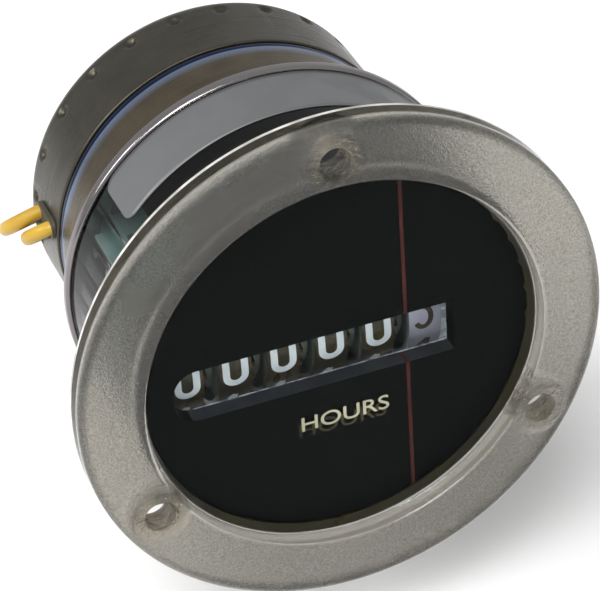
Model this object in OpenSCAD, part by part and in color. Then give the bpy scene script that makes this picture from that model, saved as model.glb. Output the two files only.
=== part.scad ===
// Round panel hour meter with a clear three-hole bezel, a six-wheel counter,
// a reduction train and a synchronous motor, in millimetres.
// +X is right and +Z is up on the dial, and +Y runs into the panel. The origin is the centre
// of the three-screw circle on the bezel's rear face, which lies on the panel.

/* [Bezel] */
// Outside diameter of the bezel
bezel_d = 71; // [68:0.5:80]
// Thickness of the bezel from the panel to its crest
bezel_t = 4.6; // [4.2:0.1:6]
// Diameter of the raised ring's inner wall at the window
ring_in_d = 54; // [52:0.5:56]
// How far the window lies below the crest
window_recess = 1.9; // [1.4:0.1:2.2]
// Thickness of the window
window_t = 1.8; // [1.2:0.1:2]
// Rounding of the bezel's front outer edge
edge_r = 1.8; // [1:0.1:2.2]
// How far the front face falls from the crest to the rounding
face_fall = 0.5; // [0.2:0.1:0.8]
// How far the screw holes lie inside the middle of the flange
screw_in = 1.1; // [0:0.1:1.3]
// Diameter of a screw hole
screw_hole_d = 4.2; // [3.2:0.1:4.6]

/* [Case] */
// Outside diameter of the clear case behind the panel
case_d = 55.4; // [54:0.2:56]
// Wall of the case
case_wall = 1.4; // [1:0.1:1.6]
// Length of the case behind the panel
case_len = 23.9; // [23.6:0.1:28]
// Thickness of the rating label
label_t = 0.12; // [0.08:0.02:0.2]
// Width of the rating label along the case
label_w = 9.3; // [7:0.1:12]
// Angle on the dial where the label starts, counted from +X
label_from = 20; // [0:1:60]
// Angle on the dial where the label ends
label_to = 141; // [120:1:175]

/* [Dial] */
// Thickness of the dial plate
dial_t = 2.5; // [1.5:0.1:3]
// Width of the counter slot
slot_w = 38.2; // [37:0.2:39]
// Height of the counter slot
slot_h = 7.6; // [6:0.2:9]
// Place of the slot's centre above the dial's centre
slot_z = -0.8; // [-2:0.1:2]

/* [Counter] */
// Diameter of a number wheel
wheel_d = 19.6; // [18.8:0.1:19.8]
// Distance from one wheel to the next
wheel_pitch = 6.56; // [6.4:0.02:6.6]
// Place of the wheel shaft above the dial's centre
wheel_z = -2; // [-2.5:0.1:-1]
// Gap between the dial and the wheels
wheel_gap = 1.9; // [1.2:0.1:2.2]
// Width of a wheel's rim
rim_w = 4.46; // [4:0.02:4.5]
// Thickness of a wheel's rim
rim_t = 1; // [0.8:0.1:1.2]
// Diameter of the wheel shaft
wheel_shaft_d = 3; // [2:0.1:4]
// Diameter of the transfer pinion shaft
pinion_shaft_d = 2; // [1.4:0.1:2.4]
// Thickness of the counter frame's cheeks and bar
frame_t = 0.8; // [0.6:0.1:1]

/* [Motor] */
// Wall of the rolled lip around the case
lip_wall = 0.55; // [0.5:0.05:2]
// Diameter of the front cup's neck
neck_d = 49.6; // [49.2:0.2:51]
// Length of the front cup behind the case
neck_len = 11.3; // [11.1:0.1:14]
// Diameter of the rear can
can_d = 50.2; // [49.8:0.2:52]
// Length of the rear can
can_len = 12.8; // [12.4:0.2:18]
// Rounding of the can's rear edge
can_edge_r = 2.4; // [1.5:0.1:3]
// Sheet thickness of the cup and the can
sheet_t = 0.7; // [0.5:0.1:0.8]
// Gap between the cup and the can, filled by the seam ring
seam_w = 1.2; // [0.8:0.1:1.6]
// Diameter of the rotor magnet
magnet_d = 18.2; // [16:0.2:18.6]
// Diameter of the rotor shaft
rotor_shaft_d = 1.5; // [1.2:0.1:1.8]

/* [Leads] */
// Diameter of a lead
lead_d = 2; // [1.6:0.1:2.4]

/* [Hidden] */
$fn = 96;

// Clearances
run = 0.05;
side_gap = 0.1;
cut_over = 1;

// Colours
clear_c = [0.86, 0.87, 0.83, 0.45];
black_c = [0.08, 0.09, 0.09];
foil_c = [0.55, 0.56, 0.56];
green_c = [0.45, 0.62, 0.58];
steel_c = [0.75, 0.75, 0.75];
plate_c = [0.72, 0.66, 0.45];
cup_c = [0.5, 0.46, 0.38];
can_c = [0.42, 0.41, 0.37];
seam_c = [0.16, 0.22, 0.38];
pole_c = [0.5, 0.5, 0.52];
nylon_c = [0.88, 0.86, 0.79];
copper_c = [0.72, 0.4, 0.2];
magnet_c = [0.2, 0.2, 0.22];
white_c = [0.85, 0.85, 0.87];
lead_c = [0.8, 0.65, 0.2];

// Gear teeth: height above the pitch circle in modules, and half widths as shares of the step
tooth_tip = 0.8;
tooth_root_share = 0.3;
tooth_tip_share = 0.12;

// Front stack along Y
bezel_r = bezel_d / 2;
rim_chamfer = 0.3;
crest_r = 0.4;
screw_angles = [90, 210, 330];
ring_in_r = ring_in_d / 2;
window_front = window_recess - bezel_t;
window_back = window_front + window_t;
case_r = case_d / 2;
case_in_r = case_r - case_wall;
screw_circle_r = (bezel_r + case_r) / 2 - screw_in;
lip_wrap = 1;
label_front = case_len - lip_wrap - side_gap - label_w;
dial_seat = 0.3;
dial_seat_w = 0.8;
dial_r = case_in_r - side_gap;
dial_front = window_back + dial_seat;
dial_back = dial_front + dial_t;

// Counter
wheel_r = wheel_d / 2;
wheel_y = dial_back + wheel_gap + wheel_r;
wheel_count = 6;
wheel_last = wheel_count - 1;
first_wheel_x = -18.9;
slot_left = first_wheel_x - wheel_pitch / 2;
slot_round = 0.42;
slot_corner = slot_round * slot_h;
wheel_shaft_r = wheel_shaft_d / 2;
pinion_shaft_r = pinion_shaft_d / 2;
wheel_half = wheel_pitch / 2 - side_gap;
rim_half = rim_w / 2;
hub_wall = 1.6;
hub_r = wheel_shaft_r + hub_wall;
web_half = 0.8;
side_t = 0.6;
transfer_teeth = 20;
transfer_pinion_teeth = 8;
rim_shaft_gap = 0.12;
transfer_distance = wheel_r + pinion_shaft_r + rim_shaft_gap;
transfer_module = 2 * transfer_distance / (transfer_teeth + transfer_pinion_teeth);
transfer_r = transfer_module * transfer_teeth / 2;
transfer_pinion_r = transfer_module * transfer_pinion_teeth / 2;
lock_r = transfer_distance - transfer_pinion_r - transfer_module;
transfer_angle = -40;
pinion_y = wheel_y + transfer_distance * cos(transfer_angle);
pinion_z = wheel_z + transfer_distance * sin(transfer_angle);
crown_teeth = 30;
crown_pinion_teeth = 6;
crown_h = 1.2;
crown_inset = 0.8;
crown_r = wheel_r - crown_inset;
crown_tooth_in = 0.9;
crown_tooth_len = 1.6;
crown_tooth_share = 0.24;
crown_pinion_len = 2.2;
crown_module = 2 * crown_r / crown_teeth;
crown_pinion_r = crown_module * crown_pinion_teeth / 2;
crown_face_x = wheel_x(wheel_last) + rim_half;
gear_4_at = [crown_face_x + crown_h / 2 + crown_pinion_r, wheel_z];

// Counter frame
frame_left = slot_left - side_gap - frame_t;
frame_right = gear_4_at[0] + crown_pinion_r + crown_module + frame_t;
bar_gap = 1.4;
bar_z = wheel_z + wheel_r + bar_gap;
bar_w = 8;
cheek_reach = 1.8;
cheek_drop = 4;
cheek_rise = 1.2;
cheek_slant = 0.6;
leg_w = 6;
leg_gap = 0.3;
cup_in_r = neck_d / 2 - sheet_t;
leg_x = sqrt(pow(cup_in_r - leg_gap, 2) - pow(bar_z + frame_t, 2)) - leg_w / 2;
leg_hole_r = 1.1;
leg_hole_set = 3.5;
lug_out = 1.4;
lug_set = 0.7;
foot_h = 4;
frame_screw_r = 0.9;
frame_screw_head_r = 1.6;
foot_screw_z = bar_z - foot_h / 2;

// Gear plate and reduction train
plate_t = 0.8;
plate_set = 2.7;
plate_front = case_len + plate_set;
plate_back = plate_front + plate_t;
cup_end = case_len + neck_len;
plate_r = cup_in_r - side_gap;
train_module = 0.25;
train_pinion_teeth = 8;
gear_1_teeth = 80;
gear_2_teeth = 80;
gear_3_teeth = 72;
gear_4_teeth = 32;
gear_t = 0.8;
level_step = 1.5;
level_first = 1.1;
stud_r = 0.45;
last_arbor_r = 0.75;
bearing_r = 1.8;
bearing_len = 1.6;
pinion_under = 0.2;
gear_2_at = [5, 6];
gear_1_at = apex([0, 0], gear_2_at, mesh_distance(gear_1_teeth), mesh_distance(gear_2_teeth));
gear_3_heading = -28;
gear_3_at = gear_2_at + polar(mesh_distance(gear_3_teeth), gear_3_heading);
post_r = 1.6;
post_at = [[-18, 4], [-6, -17], [12, -15]];

// Motor
pole_t = 1;
pole_set = 0.3;
pole_front = cup_end - pole_set;
pole_back = pole_front + pole_t;
can_front = cup_end + seam_w;
can_end = can_front + can_len;
can_r = can_d / 2;
can_in_r = can_r - sheet_t;
rear_pole_back = can_end - sheet_t;
rear_pole_front = rear_pole_back - pole_t;
lip_r = case_r + run + lip_wall;
lip_edge_r = 0.5;
magnet_r = magnet_d / 2;
magnet_in_r = 5;
claw_count = 12;
claw_gap = 0.3;
claw_t = 0.8;
claw_w = 1.7;
claw_end_gap = 1;
claw_in_r = magnet_r + claw_gap;
bobbin_in_r = claw_in_r + claw_t + claw_gap;
bobbin_t = 0.8;
bobbin_gap = 0.8;
bobbin_r = can_in_r - bobbin_gap;
winding_set = 1;
winding_r = bobbin_r - winding_set;
former_front = pole_back + bobbin_t;
former_back = rear_pole_front - bobbin_t;
rotor_shaft_r = rotor_shaft_d / 2;
rotor_lead = 0.4;
rotor_front = level_y(3) - rotor_lead;
rotor_pinion_over = 0.3;
rotor_pinion_back = level_y(3) + gear_t + rotor_pinion_over;
rotor_end_gap = 1.5;
cap_r = 6;
cap_h = 1.2;
cap_edge_r = 0.6;
groove_r = 16;
groove_half = 0.6;
groove_depth = 0.3;
dimple_count = 24;
dimple_r = 0.8;
dimple_out = 0.4;
dimple_set = 1;

// Leads: each comes out of the bush, folds back behind the can and turns down into the hank
lead_r = lead_d / 2;
lead_sides = 8;
lead_side_ref = [0.18, -0.64, -0.74];
bush_at = [40.8, 2.6];
bush_half = 2.2;
bush_wall = 0.4;
bush_out = 0.3;
lead_bend_x = -25.5;
fold_dir = [0.2, 0.8, -0.56];
upper_out = [-0.96, 0.05, -0.28];
upper_fold_r = 5;
upper_fold_back = 13;
upper_tilt = 0;
upper_entry_z = -11;
lower_out = [-0.98, 0.02, -0.2];
lower_fold_r = 4.2;
lower_fold_back = 22;
lower_tilt = 16;
lower_entry_z = -15;
entry_r = 5.5;

// Hank
hank_at = [-6, 55.3, -23];
hank_len = 36;
hank_w = 14;
hank_t = 4.2;
layer_half = 1.05;
run_pitch = 2.1;
run_x = hank_at[0] - hank_w / 2 + lead_r;
tie_h = 3;
tie_t = 0.5;
tip_r = 0.55;
tip_len = 6;
tip_in = 1.2;
tip_facets = 24;

// Place of a number wheel, counted from the left
function wheel_x(i) = first_wheel_x + i * wheel_pitch;

// Front face of a gear level, counted from the plate
function level_y(i) = plate_back + level_first + i * level_step;

// Centre distance of a train wheel and the pinion that drives it
function mesh_distance(teeth) = train_module * (teeth + train_pinion_teeth) / 2;

// Point at distance da from a and db from b, to the left of the line from a to b
function apex(a, b, da, db) =
    let (d = b - a, l = norm(d), u = d / l, s = (l * l + da * da - db * db) / (2 * l))
    a + s * u + sqrt(da * da - s * s) * [-u[1], u[0]];

// Direction in degrees from one point to another
function heading(a, b) = atan2(b[1] - a[1], b[0] - a[0]);

// Points of an arc
function arc(c, r, a0, a1, n = 6) =
    [for (i = [0 : n]) c + polar(r, a0 + (a1 - a0) * i / n)];

// Point at a radius and an angle
function polar(r, a) = r * [cos(a), sin(a)];

// Gear outline with straight-sided teeth, one of them centred at the angle phase
function gear_points(teeth, mod, phase = 0) =
    let (r = mod * teeth / 2, tip = r + tooth_tip * mod, root = r - mod, step = 360 / teeth,
         root_half = tooth_root_share * step, tip_half = tooth_tip_share * step)
    [for (i = [0 : teeth - 1]) let (a = phase + i * step)
        each [polar(root, a - root_half), polar(tip, a - tip_half),
              polar(tip, a + tip_half), polar(root, a + root_half)]];

// Slab between two depths, drawn as seen on the dial
module panel_slab(y0, y1) {
    translate([0, y1, 0]) rotate([90, 0, 0]) linear_extrude(height = y1 - y0) children();
}

// Slab across the counter, drawn with depth to the right and height up
module wheel_slab(x0, x1) {
    translate([x0, 0, 0]) rotate([90, 0, 90]) linear_extrude(height = x1 - x0) children();
}

// Body turned about the meter's axis, drawn as radius and depth
module turned(angle = 360, from = 0) {
    rotate([-90, 0, 0]) rotate([0, 0, -from - angle]) rotate_extrude(angle = angle) children();
}

// Round bar along the meter's axis
module bar_y(at, y0, y1, r) {
    translate([at[0], y0, at[1]]) rotate([-90, 0, 0]) cylinder(r = r, h = y1 - y0);
}

// Round bar across the counter
module bar_x(y, z, x0, x1, r) {
    translate([x0, y, z]) rotate([0, 90, 0]) cylinder(r = r, h = x1 - x0);
}

// Block between two corners
module block(from, to) {
    translate(from) cube(to - from);
}

// Ring outline
module ring(r1, r0) {
    difference() {
        circle(r = r1);
        circle(r = r0);
    }
}

// Points of a lead that bends out from a base, leaning back by a tilt, runs back and bends home again
function lead_fold(base, out, r, back, tilt) =
    let (start = base - r * sin(tilt) * out)
    concat(
        [for (k = [0 : 4]) let (a = tilt + (90 - tilt) * k / 4)
            start + r * sin(a) * out + r * (cos(tilt) - cos(a)) * fold_dir],
        [for (a = [90 : 22.5 : 180]) start + r * sin(a) * out + (back - r - r * cos(a)) * fold_dir]);

// Points of a lead that turns down onto the hank's first run
function hank_entry(y, z) =
    [for (a = [90 : -22.5 : 22.5]) [run_x - entry_r + entry_r * cos(a), y, z + entry_r * sin(a)]];

// Route of a lead from inside the can to the hank
function lead_route(y, out, r, back, tilt, entry_y, entry_z) = concat(
    [[-can_in_r, y, bush_at[1]]],
    lead_fold([lead_bend_x, y, bush_at[1]], out, r, back, tilt),
    hank_entry(entry_y, entry_z));

// Tube swept along a lead's route
module lead_tube(route) {
    last = len(route) - 1;
    step = 360 / lead_sides;
    rings = [for (i = [0 : last])
        let (t = route[min(i + 1, last)] - route[max(i - 1, 0)],
             u = cross(t, lead_side_ref) / norm(cross(t, lead_side_ref)),
             v = cross(u, t) / norm(t))
        [for (k = [0 : lead_sides - 1])
            route[i] + lead_r * (cos(k * step) * u + sin(k * step) * v)]];
    side_faces = [for (i = [0 : last - 1]) for (k = [0 : lead_sides - 1])
        [i * lead_sides + k, i * lead_sides + (k + 1) % lead_sides,
         (i + 1) * lead_sides + (k + 1) % lead_sides, (i + 1) * lead_sides + k]];
    start_face = [for (k = [lead_sides - 1 : -1 : 0]) k];
    end_face = [for (k = [0 : lead_sides - 1]) last * lead_sides + k];
    polyhedron(points = [for (r = rings) each r], faces = concat([start_face, end_face], side_faces));
}

// Raised ring, recessed window and rim of the clear moulding, with its screw holes
module bezel_lens() {
    rim_r = bezel_r - edge_r;
    rim_y = face_fall - bezel_t + edge_r;
    profile = concat(
        [[0, window_front], [ring_in_r, window_front]],
        arc([ring_in_r + 2 * crest_r, crest_r - bezel_t], crest_r, 180, 270, 3),
        arc([rim_r, rim_y], edge_r, -90, 0),
        [[bezel_r, -rim_chamfer], [bezel_r - rim_chamfer, 0], [case_r + run, 0], [case_r + run, window_back],
         [dial_r, window_back], [dial_r, dial_front], [dial_r - dial_seat_w, dial_front],
         [dial_r - dial_seat_w, window_back], [0, window_back]]);
    color(clear_c) difference() {
        turned() polygon(profile);
        for (a = screw_angles)
            bar_y(polar(screw_circle_r, a), -bezel_t - cut_over, cut_over, screw_hole_d / 2);
    }
}

// Clear cylinder behind the panel
module case_skirt() {
    color(clear_c)
        turned() translate([case_in_r, window_back]) square([case_wall, case_len - window_back]);
}

// Black dial with the counter slot
module dial_plate() {
    color(black_c) panel_slab(dial_front, dial_back) difference() {
        circle(r = dial_r);
        slot_outline();
    }
}

// Outline of the dial's slot, rounded at its left end
module slot_outline() {
    half = slot_h / 2 - slot_corner;
    translate([slot_left + slot_corner, slot_z]) {
        translate([0, -slot_h / 2]) square([slot_w - slot_corner, slot_h]);
        translate([-slot_corner, -half]) square([slot_corner, 2 * half]);
        for (s = [-1, 1])
            translate([0, s * half]) circle(r = slot_corner);
    }
}

// Foil label wrapped on the case
module rating_label() {
    color(foil_c)
        turned(label_to - label_from, label_from)
            translate([case_r, label_front]) square([label_t, label_w]);
}

// Side cheek of the counter frame, between two places across the counter
module frame_cheek(x0, x1) {
    y0 = wheel_y - bar_w / 2;
    y1 = wheel_y + bar_w / 2;
    outline = [[y0, bar_z + frame_t], [y1, bar_z + frame_t], [y1, wheel_z],
        [pinion_y + cheek_reach, pinion_z + cheek_rise],
        [pinion_y + cheek_reach - cheek_slant, pinion_z - cheek_reach],
        [pinion_y - cheek_reach, pinion_z - cheek_reach], [y0, wheel_z - cheek_drop]];
    wheel_slab(x0, x1) difference() {
        polygon(outline);
        translate([wheel_y, wheel_z]) circle(r = wheel_shaft_r);
        translate([pinion_y, pinion_z]) circle(r = pinion_shaft_r);
    }
}

// Frame of two cheeks, a top bar and two legs with pierced lugs and with feet on the gear plate
module counter_frame() {
    bar_top = bar_z + frame_t;
    foot_front = plate_front - frame_t;
    lug_half = leg_w / 2 + lug_out;
    color(green_c) difference() {
        union() {
            frame_cheek(frame_left, frame_left + frame_t);
            frame_cheek(frame_right - frame_t, frame_right);
            block([frame_left, wheel_y - bar_w / 2, bar_z], [frame_right, wheel_y + bar_w / 2, bar_top]);
            for (x = [-leg_x, leg_x]) {
                block([x - leg_w / 2, wheel_y, bar_z], [x + leg_w / 2, plate_front, bar_top]);
                block([x - leg_w / 2, foot_front, bar_z - foot_h], [x + leg_w / 2, plate_front, bar_top]);
                block([x - lug_half, wheel_y, bar_z], [x + lug_half, case_len - lug_set, bar_top]);
            }
        }
        for (x = [-leg_x, leg_x]) {
            bar_y([x, foot_screw_z], foot_front - cut_over, plate_front + cut_over, frame_screw_r);
            translate([x, case_len - leg_hole_set, bar_z - cut_over])
                cylinder(r = leg_hole_r, h = frame_t + 2 * cut_over);
        }
    }
}

// Fixed shaft of the number wheels
module wheel_shaft() {
    color(steel_c) bar_x(wheel_y, wheel_z, frame_left, frame_right, wheel_shaft_r);
}

// Fixed shaft of the transfer pinions
module pinion_shaft() {
    color(steel_c) bar_x(pinion_y, pinion_z, frame_left, frame_right, pinion_shaft_r);
}

// Two screws that hold the frame's feet to the gear plate
module frame_screws() {
    color(steel_c) for (x = [-leg_x, leg_x]) {
        at = [x, foot_screw_z];
        bar_y(at, plate_front - frame_t, plate_back, frame_screw_r);
        bar_y(at, plate_front - 2 * frame_t, plate_front - frame_t, frame_screw_head_r);
    }
}

// Plate that carries the counter, the gear studs and the last gear's bearing
module gear_plate() {
    color(plate_c) difference() {
        union() {
            panel_slab(plate_front, plate_back) circle(r = plate_r);
            bar_y(gear_4_at, plate_front - bearing_len, plate_front, bearing_r);
            bar_y(gear_1_at, plate_back, level_y(3) + gear_t, stud_r);
            bar_y(gear_2_at, plate_back, level_y(2) + gear_t, stud_r);
            bar_y(gear_3_at, plate_back, level_y(1) + gear_t, stud_r);
        }
        bar_y(gear_4_at, plate_front - bearing_len - cut_over, plate_back + cut_over, last_arbor_r + run);
        for (x = [-leg_x, leg_x])
            bar_y([x, foot_screw_z], plate_front - cut_over, plate_back + cut_over, frame_screw_r);
    }
}

// Three spacers between the gear plate and the motor
module gear_posts() {
    color(steel_c) for (at = post_at)
        bar_y(at, plate_back, pole_front, post_r);
}

// Front cup with its rolled lip around the case
module motor_cup() {
    lip_front = case_len - lip_wrap;
    lip_back = case_len + sheet_t;
    neck_r = neck_d / 2;
    profile = concat(
        [[case_r + run, lip_front], [lip_r - lip_edge_r, lip_front]],
        arc([lip_r - lip_edge_r, lip_front + lip_edge_r], lip_edge_r, -90, 0, 4),
        arc([lip_r - lip_edge_r, lip_back - lip_edge_r], lip_edge_r, 0, 90, 4),
        [[neck_r, lip_back], [neck_r, cup_end], [cup_in_r, cup_end],
         [cup_in_r, case_len], [case_r + run, case_len]]);
    color(cup_c) turned() polygon(profile);
}

// Dark band in the seam between the cup and the can
module seam_ring() {
    color(seam_c)
        turned() translate([cup_in_r, cup_end]) square([(can_in_r + can_r) / 2 - cup_in_r, seam_w]);
}

// Ring of claw poles on one plate, between two depths
module claws(y0, y1, first) {
    panel_slab(y0, y1) for (i = [0 : claw_count - 1])
        rotate(first + i * 360 / claw_count) translate([claw_in_r, -claw_w / 2]) square([claw_t, claw_w]);
}

// Front pole plate, with claws that reach back around the rotor
module front_poles() {
    color(pole_c) {
        panel_slab(pole_front, pole_back) ring(plate_r, rotor_shaft_r + run);
        claws(pole_back, rear_pole_front - claw_end_gap, 0);
    }
}

// Rear pole plate, with claws between those of the front one
module rear_poles() {
    color(pole_c) {
        panel_slab(rear_pole_front, rear_pole_back) ring(can_in_r - side_gap, rotor_shaft_r + run);
        claws(pole_back + claw_end_gap, rear_pole_front, 180 / claw_count);
    }
}

// Drawn rear can with a bearing cap, dimples staked around its rear edge and a slot for the lead bush
module motor_can() {
    profile = concat(
        [[can_in_r, can_front], [can_r, can_front]],
        arc([can_r - can_edge_r, can_end - can_edge_r], can_edge_r, 0, 90),
        [[groove_r + groove_half, can_end], [groove_r + groove_half - groove_depth, can_end - groove_depth],
         [groove_r - groove_half + groove_depth, can_end - groove_depth], [groove_r - groove_half, can_end],
         [cap_r, can_end]],
        arc([cap_r - cap_edge_r, can_end + cap_h - cap_edge_r], cap_edge_r, 0, 90, 4),
        [[0, can_end + cap_h], [0, can_end - sheet_t], [can_in_r, can_end - sheet_t]]);
    color(can_c) difference() {
        turned() polygon(profile);
        for (i = [0 : dimple_count - 1])
            rotate([0, (i + 0.5) * 360 / dimple_count, 0])
                translate([can_r + dimple_out, can_end - can_edge_r - dimple_set, 0]) sphere(r = dimple_r);
        wheel_slab(-can_r - cut_over, -can_in_r + cut_over) bush_outline();
    }
}

// Outline of the lead bush, around both leads
module bush_outline() {
    r = lead_r + bush_wall;
    for (s = [-1, 1])
        translate([bush_at[0] + s * bush_half, bush_at[1]]) circle(r = r);
    translate([bush_at[0] - bush_half, bush_at[1] - r]) square([2 * bush_half, 2 * r]);
}

// Plastic former of the coil
module coil_bobbin() {
    color(nylon_c) {
        panel_slab(pole_back, former_front) ring(bobbin_r, bobbin_in_r);
        panel_slab(former_front, former_back) ring(bobbin_in_r + bobbin_t, bobbin_in_r);
        panel_slab(former_back, rear_pole_front) ring(bobbin_r, bobbin_in_r);
    }
}

// Copper winding
module coil_winding() {
    color(copper_c)
        panel_slab(former_front, former_back) ring(winding_r, bobbin_in_r + bobbin_t);
}

// Rotor hub on its shaft, with the first pinion on the shaft's front end
module rotor_hub() {
    color(nylon_c) {
        panel_slab(pole_back + rotor_end_gap, rear_pole_front - rotor_end_gap) circle(r = magnet_in_r);
        bar_y([0, 0], rotor_pinion_back, pole_back + rotor_end_gap, rotor_shaft_r);
        bar_y([0, 0], rear_pole_front - rotor_end_gap, rear_pole_back, rotor_shaft_r);
        panel_slab(rotor_front, rotor_pinion_back)
            polygon(gear_points(train_pinion_teeth, train_module, heading([0, 0], gear_1_at)));
    }
}

// Ring magnet
module rotor_magnet() {
    color(magnet_c)
        panel_slab(pole_back + rotor_end_gap, rear_pole_front - rotor_end_gap) ring(magnet_r, magnet_in_r);
}

// Wheel and pinion of the train on a fixed stud. The wheel has a gap towards the gear before it and
// the pinion a tooth towards the gear after it.
module train_gear(at, level, teeth, before, after) {
    y = level_y(level);
    half_step = 180 / teeth;
    translate([at[0], 0, at[1]]) {
        panel_slab(y, y + gear_t) difference() {
            polygon(gear_points(teeth, train_module, heading(at, before) + half_step));
            circle(r = stud_r + run);
        }
        panel_slab(y - level_step - pinion_under, y) difference() {
            polygon(gear_points(train_pinion_teeth, train_module, heading(at, after)));
            circle(r = stud_r + run);
        }
    }
}

module gear_1() {
    color(nylon_c) train_gear(gear_1_at, 3, gear_1_teeth, [0, 0], gear_2_at);
}

module gear_2() {
    color(nylon_c) train_gear(gear_2_at, 2, gear_2_teeth, gear_1_at, gear_3_at);
}

module gear_3() {
    color(nylon_c) train_gear(gear_3_at, 1, gear_3_teeth, gear_2_at, gear_4_at);
}

// Last gear: its arbor runs in the plate and its front pinion drives the tenths wheel's crown
module gear_4() {
    front = wheel_y + crown_r - crown_pinion_len / 2;
    back = front + crown_pinion_len;
    color(nylon_c) translate([gear_4_at[0], 0, gear_4_at[1]]) {
        panel_slab(level_y(0), level_y(0) + gear_t)
            polygon(gear_points(gear_4_teeth, train_module));
        bar_y([0, 0], back, level_y(0), last_arbor_r);
        panel_slab(front, back) polygon(gear_points(crown_pinion_teeth, crown_module, 180));
    }
}

// Number wheel of rim, web and hub, with a transfer gear or a crown on its right and a locking disc
// on its left
module number_wheel(i) {
    x = wheel_x(i);
    bore_r = wheel_shaft_r + run;
    towards_pinion = transfer_angle + 180 / transfer_teeth;
    translate([0, wheel_y, wheel_z]) {
        wheel_slab(x - rim_half, x + rim_half) ring(wheel_r, wheel_r - rim_t);
        wheel_slab(x - web_half, x + web_half) ring(wheel_r - rim_t, hub_r);
        wheel_slab(x - wheel_half, x + wheel_half) ring(hub_r, bore_r);
        if (i > 0)
            wheel_slab(x - wheel_half, x - rim_half) ring(lock_r, hub_r);
        if (i < wheel_last) {
            wheel_slab(x + rim_half, x + wheel_half) difference() {
                polygon(gear_points(transfer_teeth, transfer_module, towards_pinion));
                circle(r = hub_r);
            }
        } else {
            crown();
        }
        wheel_slab(x + rim_half - side_t, x + rim_half) ring(wheel_r - rim_t, hub_r);
    }
}

// Crown of radial teeth on the right side of the tenths wheel
module crown() {
    tooth_w = crown_tooth_share * PI * crown_module;
    wheel_slab(crown_face_x, crown_face_x + crown_h) for (k = [0 : crown_teeth - 1])
        rotate((k + 0.5) * 360 / crown_teeth)
            translate([crown_r - crown_tooth_in, -tooth_w / 2]) square([crown_tooth_len, tooth_w]);
}

module wheel_ten_thousands() {
    color(black_c) number_wheel(0);
}

module wheel_thousands() {
    color(black_c) number_wheel(1);
}

module wheel_hundreds() {
    color(black_c) number_wheel(2);
}

module wheel_tens() {
    color(black_c) number_wheel(3);
}

module wheel_units() {
    color(black_c) number_wheel(4);
}

module wheel_tenths() {
    color(white_c) number_wheel(5);
}

// Transfer pinion between two wheels, with every other tooth cut back beside the lower wheel
module transfer_pinion(i) {
    x0 = wheel_x(i) + rim_half + side_gap;
    x1 = wheel_x(i + 1) - rim_half - side_gap;
    x_mid = (x0 + x1) / 2;
    phase = transfer_angle + 180;
    color(nylon_c) translate([0, pinion_y, pinion_z]) {
        wheel_slab(x0, x_mid) difference() {
            polygon(gear_points(transfer_pinion_teeth, transfer_module, phase));
            circle(r = pinion_shaft_r + run);
        }
        wheel_slab(x_mid, x1) difference() {
            intersection() {
                polygon(gear_points(transfer_pinion_teeth, transfer_module, phase));
                union() {
                    circle(r = transfer_pinion_r);
                    for (k = [0 : transfer_pinion_teeth / 2 - 1])
                        rotate(phase + 720 * k / transfer_pinion_teeth) translate([0, -transfer_module])
                            square([2 * transfer_pinion_r, 2 * transfer_module]);
                }
            }
            circle(r = pinion_shaft_r + run);
        }
    }
}

module transfer_1() {
    transfer_pinion(4);
}

module transfer_2() {
    transfer_pinion(3);
}

module transfer_3() {
    transfer_pinion(2);
}

module transfer_4() {
    transfer_pinion(1);
}

module transfer_5() {
    transfer_pinion(0);
}

// Bush in the can's side that both leads come out of
module lead_bush() {
    color(black_c) wheel_slab(-can_r - bush_out, -can_in_r) difference() {
        bush_outline();
        for (s = [-1, 1])
            translate([bush_at[0] + s * bush_half, bush_at[1]]) circle(r = lead_r);
    }
}

module lead_upper() {
    color(lead_c) lead_tube(lead_route(bush_at[0] + bush_half, upper_out, upper_fold_r, upper_fold_back,
        upper_tilt, hank_at[1] - layer_half, upper_entry_z));
}

module lead_lower() {
    color(lead_c) lead_tube(lead_route(bush_at[0] - bush_half, lower_out, lower_fold_r, lower_fold_back,
        lower_tilt, hank_at[1] + layer_half, lower_entry_z));
}

// Outline of the hank seen along the meter's axis, with round ends
module hank_outline() {
    r = hank_w / 2;
    half = hank_len / 2 - r;
    translate([hank_at[0], hank_at[2]]) {
        for (s = [-1, 1])
            translate([0, s * half]) circle(r = r);
        translate([-r, -half]) square([2 * r, 2 * half]);
    }
}

// The rest of both leads, folded up and tied
module lead_hank() {
    color(lead_c) panel_slab(hank_at[1] - hank_t / 2, hank_at[1] + hank_t / 2) hank_outline();
}

// Tie around the hank
module hank_tie() {
    color(black_c) translate(hank_at) difference() {
        cube([hank_w + 2 * tie_t, hank_t + 2 * tie_t, tie_h], center = true);
        cube([hank_w, hank_t, 2 * tie_h], center = true);
    }
}

// Bare ends of both leads below the hank
module lead_tips() {
    bottom = hank_at[2] - hank_len / 2;
    color(copper_c) for (s = [-1, 1])
        translate([run_x + run_pitch, hank_at[1] + s * layer_half, bottom - tip_len])
            cylinder(r = tip_r, h = tip_len + tip_in, $fn = tip_facets);
}

bezel_lens();
case_skirt();
dial_plate();
rating_label();
counter_frame();
wheel_shaft();
pinion_shaft();
frame_screws();
gear_plate();
gear_posts();
motor_cup();
seam_ring();
front_poles();
rear_poles();
motor_can();
coil_bobbin();
coil_winding();
rotor_hub();
rotor_magnet();
gear_1();
gear_2();
gear_3();
gear_4();
wheel_tenths();
wheel_units();
wheel_tens();
wheel_hundreds();
wheel_thousands();
wheel_ten_thousands();
transfer_1();
transfer_2();
transfer_3();
transfer_4();
transfer_5();
lead_bush();
lead_upper();
lead_lower();
lead_hank();
hank_tie();
lead_tips();
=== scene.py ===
"""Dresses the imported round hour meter: clear bezel and case, printed dial and wheels, motor, leads."""

import logging
import math
from dataclasses import dataclass
from enum import Enum
from functools import reduce
from typing import Optional, Sequence, Union

import bmesh
import bpy
import numpy as np
from mathutils import Matrix, Vector

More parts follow.
